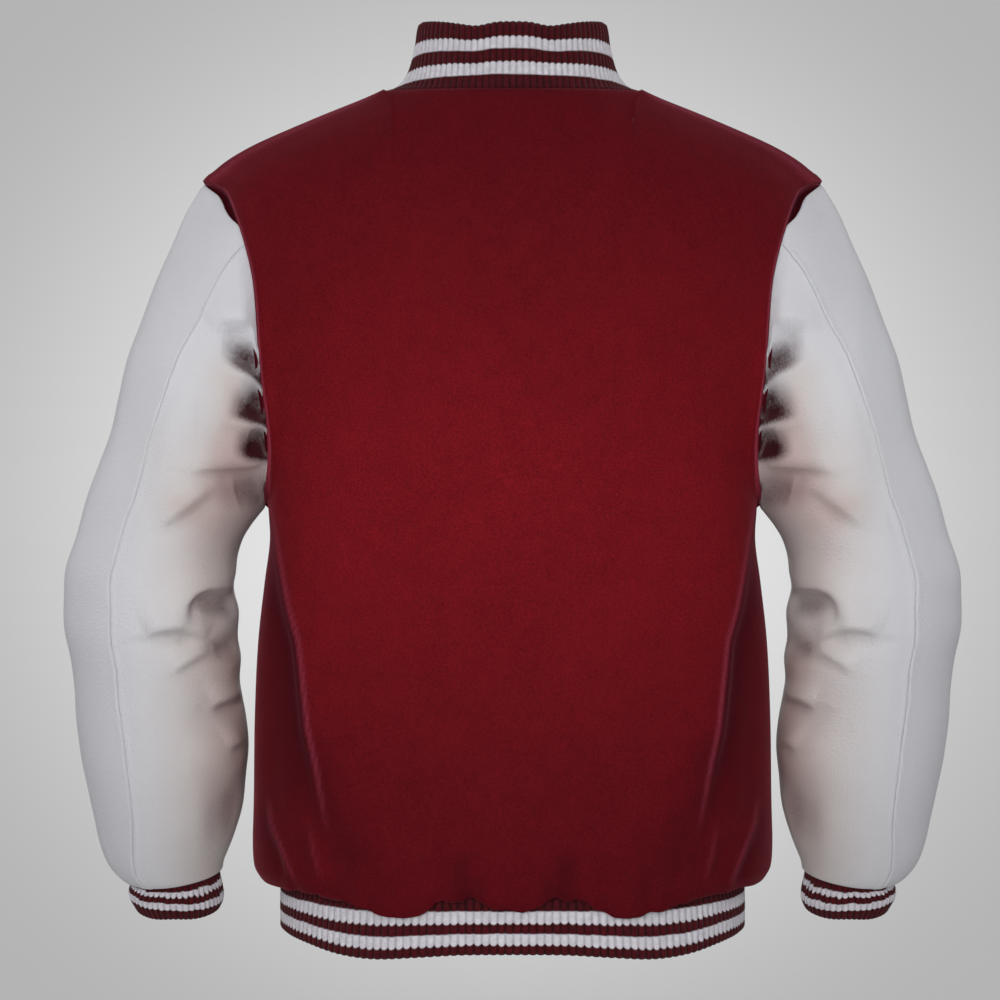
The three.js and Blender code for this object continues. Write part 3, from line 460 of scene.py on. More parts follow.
SLEEVE_TUCKS = [
    ([(198, -187), (213, -186), (226.8, -187.6), (234, -194)], 16, 5, 15, 5, 1),
    ([(194, -297), (216.7, -299), (252, -302)], 13, 5, 12, 4, 1),
    ([(234.6, -314.7), (249.5, -326.4), (262, -336.5), (273.6, -344.3)], 14, 6, 13, 3.5, 1),
    (
        [(217, -397), (230.7, -394.5), (242, -394.3), (250.2, -399), (255.7, -407), (257.5, -419)],
        17, 5, 13, 6.5, 1,
    ),
    ([(238.5, -433.3), (249.5, -427.8), (262, -424), (275.2, -425.5), (285.3, -430.1)], 17, 5, 13, 6.5, 1),
    ([(236, -444), (246, -446), (257.3, -452.8), (265.8, -459)], 10, 5, 10, 3.2, 1),
    ([(216, -480.5), (226, -482), (238, -486)], 15, 4.5, 12, 5.5, 1),
    ([(216, -516), (228, -520)], 14, 5, 12, 3, 1),
    ([(214, -398), (240, -396), (262, -404)], 16, 6, 14, 5, -1),
    ([(220, -434), (250, -428), (280, -432)], 16, 6, 14, 5, -1),
    ([(216, -478), (244, -484)], 14, 5, 12, 4, -1),
]

# Painted deep shade between the folds of the left sleeve: line of places from its faint end, widths of its
# left and right flanks, seen along the line, and strength
SLEEVE_POCKETS = [
    ([(230, -209), (213, -221), (203, -227), (190, -239)], 4, 12, 0.8),
    ([(226, -257), (208, -261), (196, -264), (186, -267)], 5, 19, 1.0),
    ([(222, -285), (208, -289), (198, -291), (186, -294)], 6, 16, 1.05),
    ([(224, -320), (203, -326), (186, -331)], 9, 20, 0.55),
    ([(216, -112), (210, -130), (203, -168), (199, -214)], 8, 8, 0.16),
    ([(236, -412), (222, -410), (210, -411)], 6, 9, 0.2),
    ([(232, -456), (220, -449), (210, -446)], 6, 9, 0.2),
    ([(236, -271), (204, -270)], 4, 7, 0.12),
    ([(252, -304), (206, -299)], 3, 8, 0.2),
]

# Share of such a line over which its shade grows to its full strength
POCKET_START = 0.5

# Patches of painted warm reflection of the wool on the leather: line of places, width and strength
SLEEVE_REFLECTION_PATCHES = [
    ([(222, -232), (216, -262), (220, -318)], 18, 0.9),
    ([(212, -456), (207, -520), (210, -580)], 16, 1.3),
    ([(262, -330), (236, -340)], 12, 0.4),
]


def edge_distance(grid, axis, end):
    """Distance from one edge of a grid along its rows or columns."""
    steps = np.linalg.norm(np.diff(grid, axis=axis), axis=-1)
    total = np.cumsum(steps, axis=axis)
    zero_shape = list(total.shape)
    zero_shape[axis] = 1
    total = np.concatenate([np.zeros(zero_shape), total], axis=axis)
    if end:
        last = np.take(total, [-1], axis=axis)
        return last - total
    return total


def roll(distance, radius):
    """Depth of a quarter-round edge at a distance from it."""
    inside = np.clip(radius - distance, 0, radius)
    return radius - np.sqrt(radius ** 2 - inside ** 2)


def samples(start, end, per_step, edges):
    """Even places between two steps, with a few more close to the edges that are named."""
    count = int(round((end - start) * per_step))
    places = list(np.linspace(start, end, count + 1))
    for edge in edges:
        inward = 1 if edge == start else -1
        places.extend(edge + inward * step for step in ROLL_STEPS)
    return np.array(sorted(places))


# Waves of the gathers over the hem band: length round the body in mm, share of the height
GATHER_WAVES = [(11.3, 0.3), (17.9, 0.5), (26.4, 0.6), (41.7, 0.5)]
GATHER_HEIGHT = 1.5
GATHER_REACH = 34


def gathers(x, z, face):
    """Small uneven puckers that rise from the hem seam and fade out up the cloth."""
    source = np.random.default_rng(SEED + (1 if face > 0 else 2))
    height = np.zeros(x.shape)
    for length, share in GATHER_WAVES:
        phase = source.uniform(0, 2 * np.pi)
        bend = 0.9 * np.sin(z / 23 + source.uniform(0, 2 * np.pi))
        height += share * np.sin(2 * np.pi * x / length + phase + bend)
    patch = 0.55 + 0.45 * np.sin(x / 31 + source.uniform(0, 6)) * np.sin(x / 13 + source.uniform(0, 6))
    fade = np.exp(-((z - HEM_SEAM_Z + 14) / GATHER_REACH) ** 2)
    return GATHER_HEIGHT * height * patch * fade


# Slow unevenness of laid cloth: wave lengths in mm across and up, and height
DRAPE_WAVES = [(190, 260, 0.9), (120, 170, 0.6), (74, 98, 0.35), (43, 61, 0.18)]


def drape(x, z, source):
    """Slow uneven waves over a whole piece, from a seeded source."""
    height = np.zeros(x.shape)
    for across, along, size in DRAPE_WAVES:
        turn = source.uniform(-0.6, 0.6)
        lean_x = x * math.cos(turn) - z * math.sin(turn)
        lean_z = x * math.sin(turn) + z * math.cos(turn)
        first = np.sin(2 * np.pi * lean_x / across + source.uniform(0, 6.28))
        second = np.sin(2 * np.pi * lean_z / along + source.uniform(0, 6.28))
        height += size * first * second
    return height


# The body's surface is evened over these widths below the neck points, and its inner face everywhere
NECK_EVENING = 20.0
NECK_REACH = 50.0
NECK_ROW = 16
NORMAL_EVENING = 7.0

# Where the fronts meet below the lap, and the place of a front's first column there
CENTRE_GAP = 0.2
EDGE_COLUMN = 9

# Folds fade out over a power of the way to the side edge, and over these rows at the hem and the top
SIDE_FADE = 8
HEM_FADE_ROWS = 1.5
TOP_FADE_ROWS = 2.5

# Ridge beside the armhole's rolled edge, which the seam allowance raises: height, place and width
ALLOWANCE_HEIGHT = 0.9
ALLOWANCE_PLACE = 7.0
ALLOWANCE_WIDTH = 4.5


def even_across(values, x, width):
    """Values of each row evened over a width in mm."""
    spacing = np.abs(np.gradient(x, axis=1))
    near = np.exp(-((x[:, :, None] - x[:, None, :]) / width) ** 2) * spacing[:, None, :]
    return np.matmul(near, values) / near.sum(axis=2, keepdims=True)


# A painted highlight, the sheen of the nap, runs in a line along the edges and the fold ridges, and beyond a
# ridge
# lies a plane of painted shade: places and widths in mm, strengths from 0 to 1
EDGE_HIGHLIGHT_WIDTH = 1.2
EDGE_HIGHLIGHT_PLACE = 1.0
RIDGE_HIGHLIGHT_WIDTH = 1.7
RIDGE_HIGHLIGHT_STRENGTH = 0.62
SHADE_REACH = 1.9
SHADE_START = 4.0
FULL_TUCK = 5.0
SHOULDER_START = 12.0
SHOULDER_HIGHLIGHT_WIDTH = 13.0
SHOULDER_HIGHLIGHT_STRENGTH = 0.1
SHOULDER_LINE_DROP = 3.2
SHOULDER_LINE_WIDTH = 1.4
SHOULDER_LINE_HIGHLIGHT = 0.42
SHOULDER_LINE_SHADE = 0.7

# Painted shade: the wool is a little darker towards the shoulders and the hem
END_SHADE = 0.62
MIDDLE_HEIGHT = -315.0
MIDDLE_REACH = 190.0


def wool_place(base, tucks, shades, armhole, sides):
    """Painted shade and painted highlight of the wool, each from 0 to 1."""
    x, z = np.abs(base[..., 0]), base[..., 2]
    drop = z[-1:] - z
    shade = np.zeros(x.shape)
    nap = np.zeros(x.shape)
    # Each tuck: a painted highlight along its ridge, and painted shade on the plane beyond it
    for points, _, _, trough, depth in tucks:
        distance, side, along = line_distance(points, x, z)
        size = min(1.0, depth / FULL_TUCK) * end_taper(along, 1, 4)
        nap = np.maximum(nap, RIDGE_HIGHLIGHT_STRENGTH * size * bell(distance, RIDGE_HIGHLIGHT_WIDTH))
        beyond = smooth(distance / SHADE_START) * bell(distance, SHADE_REACH * trough)
        shade = np.maximum(shade, np.where(side > 0, 0, size * beyond))
    # Painted shade from the table of shades
    for points, width, strength in shades:
        shade = np.maximum(shade, strength * bell(line_distance(points, x, z)[0], width))
    # Painted shade that darkens the wool towards the shoulders and the hem
    shade = shade + (1 - shade) * END_SHADE * (1 - bell(z - MIDDLE_HEIGHT, MIDDLE_REACH))
    # Painted highlight along the armhole's rolled edge
    for distance in sides:
        nap = np.maximum(nap, armhole * bell(distance - EDGE_HIGHLIGHT_PLACE, EDGE_HIGHLIGHT_WIDTH))
    # Painted highlight along the shoulder seam, with a thin line of painted shade at its top
    shoulder = smooth((x - NECK_HALF_WIDTH) / SHOULDER_START)
    line = SHOULDER_LINE_HIGHLIGHT * bell(drop - SHOULDER_LINE_DROP, SHOULDER_LINE_WIDTH)
    nap = np.maximum(nap, shoulder * (line + SHOULDER_HIGHLIGHT_STRENGTH * bell(drop, SHOULDER_HIGHLIGHT_WIDTH)))
    shade = np.maximum(shade, SHOULDER_LINE_SHADE * shoulder * bell(drop, SHOULDER_LINE_WIDTH))
    return np.stack([shade, nap], axis=-1)


def body_panel(face, columns, folds, tucks, shades=(), recess_depth=0):
    """Faces and place values of a body panel, and its base. Columns below 0 are the lap of a front."""
    rows = samples(0, TOP_ROW, BODY_UP, (0, TOP_ROW))
    v, u = np.meshgrid(rows, columns, indexing="ij")
    half = body_row(v)[0]
    top = top_share(u)
    low = low_share(u)
    if face < 0:
        top = np.where(u < 0, u * FRONT_LAP / SHOULDER_TIP_X, top)
        lapped = smooth(v - FULLEST_ROW)
        start = mix(EDGE_COLUMN, 0, lapped)
        lap_edge = mix(CENTRE_GAP, -FRONT_LAP, lapped)
        first_x = low_share(1) * half
        x_low = np.where(
            u < 0,
            mix(start, lap_edge, -u),
            start + (first_x - start) * low_share(np.minimum(u, 1)) / low_share(1),
        )
        low = np.where(u < 1, x_low / half, low)
    base = body_point(face, v, low, top)
    under_neck = smooth((v - NECK_ROW) / 4) * smooth((TOP_ROW - v) / 0.5)
    evened = even_across(base[..., 1:2], base[..., 0], NECK_EVENING)[..., 0]
    by_neck = bell(np.abs(base[..., 0]) - NECK_HALF_WIDTH, NECK_REACH)
    base[..., 1] = mix(base[..., 1], evened, under_neck * by_neck)
    normals = grid_normals(base, -face)
    source = np.random.default_rng(SEED + 10 + face)
    x, z = np.abs(base[..., 0]), base[..., 2]
    share = np.abs(low_share(u))
    inside = (1 - share ** SIDE_FADE) * smooth(v / HEM_FADE_ROWS) * smooth((TOP_ROW - v) / TOP_FADE_ROWS)
    height = sum(fold_height(fold, x, z) for fold in folds)
    height = height + sum(tuck_height(tuck, x, z) for tuck in tucks)
    height = height + gathers(base[..., 0], z, face)
    height = height + drape(base[..., 0], z, source)
    base = base + normals * (inside * height)[..., None]
    if recess_depth:
        recessed = recess_depth * (1 - smooth(u - 1)) * smooth((v - FULLEST_ROW + 1))
        base = base - normals * recessed[..., None]
    normals = grid_normals(base, -face)
    armhole = smooth((v - UNDERARM_ROW) / 0.6)
    outer = base.copy()
    sides = [edge_distance(base, 1, True)]
    if face > 0:
        sides.append(edge_distance(base, 1, False))
    for distance in sides:
        depth = mix(roll(distance, SEAM_ROLL), roll(distance, WOOL_ROLL), armhole)
        ridge = ALLOWANCE_HEIGHT * bell(distance - ALLOWANCE_PLACE, ALLOWANCE_WIDTH) * armhole
        outer = outer + normals * (ridge - depth)[..., None]
    # Painted shade and painted highlight of the wool
    place = wool_place(base, tucks, shades, armhole, sides)
    top_roll = roll(edge_distance(base, 0, True), SEAM_ROLL)
    hem_roll = roll(edge_distance(base, 0, False), SEAM_ROLL)
    outer = outer - normals * (top_roll + hem_roll)[..., None]
    if face < 0:
        outer = outer - normals * roll(edge_distance(base, 1, False), LAP_ROLL)[..., None]
    inner = base - unit(even_across(normals, base[..., 0], NORMAL_EVENING)) * WOOL
    return (outer, inner, place), base


# Sleeves
SLEEVE_TABLE = [(i, *row) for i, row in enumerate(SLEEVE_SECTIONS + [SLEEVE_END])]
SLEEVE_LAST = len(SLEEVE_TABLE) - 1
SECTION_CURVES = [curve(SLEEVE_TABLE, column) for column in range(1, 9)]

# Share of the sleeve's length over which the armhole's own curve fades out
SCOOP_SHARE = 0.2

# A fold of one half of the sleeve fades out where the leather turns from that half, by this share of the turn
FACE_FADE = 0.35


def ring_angle(step, seam):
    """Angle in degrees of a place round the sleeve, with the hind seam at its own angle."""
    turn = 360 / RING_STEPS
    last_step = RING_STEPS + FORE_SEAM_STEP
    beyond = (step - HIND_SEAM_STEP) / (last_step - HIND_SEAM_STEP)
    after = mix(seam, turn * last_step, beyond)
    past_top = np.where(step <= HIND_SEAM_STEP, seam * step / HIND_SEAM_STEP, after)
    return np.where(step <= 0, turn * step, past_top)


def ring_point(section, angle):
    """Places round one section of a sleeve or a cuff."""
    out_x, out_z, in_x, in_z, depth, middle, drop = section[:7]
    across = (1 + np.cos(angle)) / 2
    deep = np.sin(angle) * depth
    x = mix(in_x, out_x, across)
    z = mix(in_z, out_z, across) - drop * deep
    return np.stack([x + 0 * deep, middle + deep, z], axis=-1)


def armhole_point(step):
    """Place on the edge of the left armhole."""
    turn = 2 * np.pi * step / RING_STEPS
    share = (1 + np.cos(turn)) / 2
    z = mix(UNDERARM_Z, SHOULDER_TIP_Z, share)
    return np.stack([armhole_x(share), ARMHOLE_DEPTH * np.sin(turn), z], axis=-1)


# Where the wool turns under at the top of the armhole, the leather starts this far down the sleeve
TURN_UNDER = [(0, 0), (0.5, 1.9), (1, 4.2), (1.5, 5.8), (2, 4.8), (2.5, 0)]
FRONT_TURN_UNDER_SHARE = 0.7
HEAD_PITCH = 26.0
HEAD_ROWS = 4.0


def head_gap(step):
    """Width of the turned-under wool that shows between the panel's edge and the leather."""
    width = np.maximum(0, curve(TURN_UNDER, 1)(np.abs(step)))
    return width * np.where(step >= 0, 1, FRONT_TURN_UNDER_SHARE)


def sleeve_base(t, step):
    """Outer face of the left sleeve before folds, by sections down it and steps round it."""
    section = [read(t) for read in SECTION_CURVES]
    angle = np.radians(ring_angle(step, section[7]))
    points = ring_point(section, angle)
    straight = ring_point(SLEEVE_SECTIONS[0], 2 * np.pi * step / RING_STEPS)
    scoop = np.maximum(0, 1 - t / (SLEEVE_LAST - 1) / SCOOP_SHARE) ** 2
    return points + (armhole_point(step) - straight) * scoop[..., None]


# A hollow this deep in mm takes the whole painted shade of the creases on the back, and this share of it in
# front
CREASE_DEPTH = 13.0
FRONT_SHADE = 0.15

# Painted warm reflection of the wool on the leather next to it, by distance from the middle
X_WARM_START = 306.0
X_WARM_SPAN = 76.0
Z_WARM_START = -225.0
Z_WARM_SPAN = 110.0

# Ridge that the seam allowances raise beside the leather's seams: height, place and width
SEAM_PUFF = 0.9
PUFF_PLACE = 2.0
PUFF_WIDTH = 2.6

# The leather lies this much further in under the wool's edge, by distance from the armhole, and the seam
# closes over the last few mm
UNDER_EDGE = 1.2
UNDER_EDGE_REACH = 7.0
INSET_START = 6.0
INSET_SPAN = 26.0
SEAM_REACH = 3.0
GAP_REACH = 4.0
LEATHER_DRAPE = 0.8


def sleeve_panel(first_step, last_step):
    """Outer and inner faces and place values of one panel of the left sleeve, between two seams."""
    rows = samples(0, SLEEVE_LAST, SLEEVE_DOWN, (0, SLEEVE_LAST))
    columns = samples(first_step, last_step, SLEEVE_ROUND, (first_step, last_step))
    t, step = np.meshgrid(rows, columns, indexing="ij")
    delay = head_gap(step) / HEAD_PITCH * np.clip(1 - t / HEAD_ROWS, 0, 1) ** 2
    base = sleeve_base(t + delay, step)
    normals = grid_normals(base, -1)
    inside = smooth(t / 0.4) * smooth((SLEEVE_LAST - t) / 1.5)
    x, z = base[..., 0], base[..., 2]
    height = np.zeros(x.shape)
    for shape, folds in ((fold_height, SLEEVE_FOLDS), (tuck_height, SLEEVE_TUCKS)):
        for fold in folds:
            facing = smooth(normals[..., 1] * fold[-1] / FACE_FADE)
            height += facing * shape(fold, x, z)
    on_back = smooth(normals[..., 1] / FACE_FADE)
    # Painted shade in the folds' hollows, full on the back half and weaker in front
    hollow = np.clip(-inside * height / CREASE_DEPTH, 0, 1) * mix(FRONT_SHADE, 1, on_back)
    for points, left_width, right_width, strength in SLEEVE_POCKETS:
        distance, side, along = line_distance(points, x, z)
        width = np.where(side > 0, left_width, right_width)
        shade = strength * on_back * smooth(along / POCKET_START) * bell(distance, width)
        hollow = np.maximum(hollow, shade)
    # Painted warm reflection of the wool, in patches
    reflection_blush = np.zeros(x.shape)
    for points, width, strength in SLEEVE_REFLECTION_PATCHES:
        reflection_blush = np.maximum(reflection_blush, strength * on_back * bell(line_distance(points, x, z)[0], width))
    source = np.random.default_rng(SEED + 30)
    height += LEATHER_DRAPE * drape(x + 0.6 * base[..., 1], z, source)
    base = base + normals * (inside * height)[..., None]
    normals = grid_normals(base, -1)
    from_armhole = edge_distance(base, 0, False)
    tucked = SLEEVE_INSET + UNDER_EDGE * (1 - smooth(from_armhole / UNDER_EDGE_REACH))
    tucked = tucked * (1 - smooth((from_armhole - INSET_START) / INSET_SPAN))
    base = base - normals * tucked[..., None]
    round_way = unit(np.gradient(base, axis=1))
    from_first = edge_distance(base, 1, False)
    from_last = edge_distance(base, 1, True)
    near_first = (1 - smooth(from_first / SEAM_REACH))[..., None]
    near_last = (1 - smooth(from_last / SEAM_REACH))[..., None]
    base = base + round_way * LEATHER_HALF_GAP * (near_first - near_last)
    groove = roll(from_first, LEATHER_ROLL) + roll(from_last, LEATHER_ROLL)
    puff = SEAM_PUFF * (bell(from_first - PUFF_PLACE, PUFF_WIDTH) + bell(from_last - PUFF_PLACE, PUFF_WIDTH))
    ends = roll(from_armhole, SLEEVE_END_ROLL) + roll(edge_distance(base, 0, True), SLEEVE_END_ROLL)
    outer = base + normals * (inside * puff - groove - ends)[..., None]
    inner = base - normals * LEATHER
    down_way = unit(np.gradient(base, axis=0))
    shift = (ARMHOLE_GAP * (1 - smooth(from_armhole / GAP_REACH)))[..., None]
    # Painted warm reflection of the wool on the leather near the body
    reflection_near_body = smooth((X_WARM_START - x) / X_WARM_SPAN) * smooth((Z_WARM_START - z) / Z_WARM_SPAN)
    place = np.stack([hollow, reflection_near_body + reflection_blush], axis=-1)
    return outer + down_way * shift, inner + down_way * shift, place


# How far a rib's end stands beyond the valleys beside it
SCALLOP = 0.8

# The collar's wave fades out over this distance in front of the neck's middle, and its stripes run lower
# at the sides by a share of its height
WAVE_FADE = 40.0
SIDE_STRIPE_DROP = 0.17

# The free edge of a knit strip: radius, how far the ribs sink there, and how much thinner the wall gets
FREE_EDGE_ROLL = 2.2
FREE_EDGE_DIP = 1.3
FREE_EDGE_THINNER = 0.8

# Share of a rib's height that is left at the seam, and the distances over which it grows to the full
SEAM_RIB_SHARE = 0.35
STRIP_SEAM_REACH = 2.5
CUFF_SEAM_SHARE = 0.12
SCALLOP_START = 0.8


def rib_profile(phase):
    """Rounded ridge of one rib. Its phase runs from 0 to 1 across it."""
    return 1 - np.abs(2 * phase - 1) ** 2.3


def free_edge(left):
    """Quarter round at the free edge of a strip, by the distance that is left to it."""
    return np.sqrt(1 - np.clip(1 - left / FREE_EDGE_ROLL, 0, 1) ** 2)


def strip_faces(plain, out, raised, at_seam, edge_round):
    """Outer face with its ribs and plain inner face of a knit strip."""
    lift = RIB_RAISE * raised * (SEAM_RIB_SHARE + (1 - SEAM_RIB_SHARE) * at_seam) * edge_round
    outer = plain + out * (lift - FREE_EDGE_DIP * (1 - edge_round))[..., None]
    inner = plain - out * (KNIT - FREE_EDGE_THINNER * (1 - edge_round))[..., None]
    return outer, inner


def resample(points, count):
    """Places at even distances along a line of points, with the share of the way to each."""
    lengths = np.concatenate([[0], np.cumsum(np.linalg.norm(np.diff(points, axis=0), axis=1))])
    at = np.linspace(0, lengths[-1], count)
    return np.stack([np.interp(at, lengths, points[:, i]) for i in range(3)], axis=-1), at / lengths[-1]


def soften(line, passes):
    """Evened line with its two ends kept."""
    for _ in range(passes):
        line = line.copy()
        line[1:-1] = (line[:-2] + 2 * line[1:-1] + line[2:]) / 4
    return line


def knit_strip(line, ribs, table, height, direction, three_leans, wave):
    """Ribbed strip on an open line. Rows follow the table; returns outer, inner and place arrays."""
    count = ribs * RIB_SAMPLES + 1
    points, share = resample(line, count)
    points = soften(points, 10)
    tangent = unit(np.gradient(points, axis=0))
    out = unit(np.cross(tangent, np.array([0, 0, 1.0])))
    far = np.linspace(0, height, KNIT_ROWS + 1)
    side = curve(table, 1)(far)
    middle = curve(table, 2)(far)
    front = curve(table, 3)(far) if three_leans else middle
    ends = np.where(out[None, :, 1] > 0, middle[:, None], front[:, None])
    lean = side[:, None] * out[None, :, 0] ** 2 + ends * out[None, :, 1] ** 2
    sign = -1 if three_leans else 1
    level_points = points[None, :, :] + out[None, :, :] * (sign * lean)[..., None]
    plain = level_points + np.array([0, 0, direction]) * far[:, None, None]
    moved = curve(wave, 1)(np.abs(points[:, 0]))
    if three_leans:
        moved = moved * smooth((points[:, 1] + WAVE_FADE) / WAVE_FADE)
    plain[..., 2] += moved[None, :] * smooth(far / height)[:, None]
    phase = (share * ribs) % 1.0
    phase[-1] = 1.0
    raised = np.broadcast_to(rib_profile(phase)[None, :], plain.shape[:2])
    near_end = smooth((far[:, None] / height - SCALLOP_START) / (1 - SCALLOP_START))
    plain[..., 2] += direction * SCALLOP * (raised - 0.5) * near_end
    at_seam = smooth(far / STRIP_SEAM_REACH)[:, None]
    outer, inner = strip_faces(plain, out[None, :, :], raised, at_seam, free_edge(height - far)[:, None])
    down = far[:, None] / height
    if three_leans:
        down = down + SIDE_STRIPE_DROP * (1 - 0.1 * down) * out[None, :, 0] ** 2
    place = np.stack(np.broadcast_arrays(share[None, :] * ribs, down), axis=-1)
    return outer, inner, place


CUFF_TABLE = [(i, *row) for i, row in enumerate(CUFF_ROWS)]
CUFF_CURVES = [curve(CUFF_TABLE, column) for column in range(1, 9)]
CUFF_HEIGHT = 34

# Rise of the cuff's edge between its two lobes, its half width as an angle, and the share of the cuff's
# height at which it starts
CUFF_LOBE = 1.8
CUFF_LOBE_ANGLE = 0.45
CUFF_LOBE_START = 0.4


def cuff_strip():
    """Ribbed left cuff, closed round; returns outer, inner and place arrays."""
    count = CUFF_RIBS * RIB_SAMPLES
    share = np.arange(count) / count
    angle = 2 * np.pi * (share + FORE_SEAM_STEP / RING_STEPS)
    last = len(CUFF_ROWS) - 1
    rows = np.linspace(0, last, KNIT_ROWS + 1)
    t, turn = np.meshgrid(rows, angle, indexing="ij")
    section = [read(t) for read in CUFF_CURVES]
    plain = ring_point(section, turn)
    tangent = unit(np.roll(plain, -1, axis=1) - np.roll(plain, 1, axis=1))
    out = unit(np.cross(tangent, np.array([0, 0, 1.0])))
    down_way = unit(np.gradient(plain, axis=0))
    plain = plain + down_way * (SEWN_GAP * (1 - smooth(t / 0.3)))[..., None]
    far = rows / last
    phase = (share * CUFF_RIBS) % 1.0
    raised = rib_profile(phase)[None, :]
    near_end = smooth((far[:, None] - SCALLOP_START) / (1 - SCALLOP_START))
    plain = plain + down_way * (SCALLOP * (raised - 0.5) * near_end)[..., None]
    lobe_share = smooth((far[:, None] - CUFF_LOBE_START) / (1 - CUFF_LOBE_START))
    plain[..., 2] += CUFF_LOBE * bell(turn - np.pi / 2, CUFF_LOBE_ANGLE) * lobe_share
    at_seam = smooth(far / CUFF_SEAM_SHARE)[:, None]
    outer, inner = strip_faces(plain, out, raised, at_seam, free_edge((1 - far) * CUFF_HEIGHT)[:, None])
    place = np.stack(np.broadcast_arrays(share[None, :] * CUFF_RIBS, far[:, None]), axis=-1)
    return outer, inner, place


# Meshes
def shell(name, outer, inner, place=None, closed=False):
    """One closed thin wall between two grids, as a Blender object in metres."""
    rows, columns = outer.shape[:2]
    layer = rows * columns
    index = np.arange(layer).reshape(rows, columns)
    if closed:
        right = np.roll(index, -1, axis=1)
        left_part, right_part = index, right
    else:
        left_part, right_part = index[:, :-1], index[:, 1:]
    a, b = left_part[:-1].ravel(), right_part[:-1].ravel()
    c, d = right_part[1:].ravel(), left_part[1:].ravel()
    faces = [np.stack([a, b, c, d], axis=1), np.stack([a, d, c, b], axis=1) + layer]
    low_a, low_b = left_part[0], right_part[0]
    high_a, high_b = left_part[-1], right_part[-1]
    faces.append(np.stack([low_a, low_a + layer, low_b + layer, low_b], axis=1))
    faces.append(np.stack([high_a, high_b, high_b + layer, high_a + layer], axis=1))
    if not closed:
        first_a, first_b = index[:-1, 0], index[1:, 0]
        last_a, last_b = index[:-1, -1], index[1:, -1]
        faces.append(np.stack([first_a, first_b, first_b + layer, first_a + layer], axis=1))
        faces.append(np.stack([last_a, last_a + layer, last_b + layer, last_b], axis=1))
    faces = np.concatenate(faces)
    points = np.concatenate([outer.reshape(-1, 3), inner.reshape(-1, 3)]) * MM
    corners = points[faces]
    volume = np.einsum("ij,ij->i", corners[:, 0], np.cross(corners[:, 1], corners[:, 2])).sum()
    if volume < 0:
        faces = faces[:, ::-1]
    mesh = bpy.data.meshes.new(name)
    mesh.vertices.add(len(points))
    mesh.vertices.foreach_set("co", points.astype(np.float32).ravel())
    mesh.loops.add(faces.size)
    mesh.loops.foreach_set("vertex_index", faces.astype(np.int32).ravel())
    mesh.polygons.add(len(faces))
    mesh.polygons.foreach_set("loop_start", np.arange(0, faces.size, 4, dtype=np.int32))
    mesh.polygons.foreach_set("use_smooth", np.ones(len(faces), dtype=bool))
    if place is not None:
        layer_uv = mesh.uv_layers.new(name="place")
        values = np.concatenate([place.reshape(-1, 2), place.reshape(-1, 2)])[faces.ravel()]
        if closed:
            values = unwrap_seam(values)
        layer_uv.data.foreach_set("uv", values.astype(np.float32).ravel())
    mesh.update(calc_edges=True)
    mesh.validate()
    made = bpy.data.objects.new(name, mesh)
    bpy.context.scene.collection.objects.link(made)
    return made


def unwrap_seam(values):
    """Rib numbers of a face that closes the round go on from the last rib instead of back to 0."""
    corners = values.reshape(-1, 4, 2).copy()
    across = corners[:, :, 0]
    highest = across.max(axis=1, keepdims=True)
    wrapped = (highest - across) > CUFF_RIBS / 2
    corners[:, :, 0] = np.where(wrapped, across + CUFF_RIBS, across)
    return corners.reshape(-1, 2)


def mirror(grid):
    """The same grid on the other side of the jacket."""
    return grid * np.array([-1.0, 1.0, 1.0])


# Materials
def linear(red, green, blue):
    """Linear colour from 8-bit sRGB values."""
    channels = []
    for value in (red, green, blue):
        share = value / 255
        channels.append(share / 12.92 if share <= 0.04045 else ((share + 0.055) / 1.055) ** 2.4)
    return (*channels, 1.0)


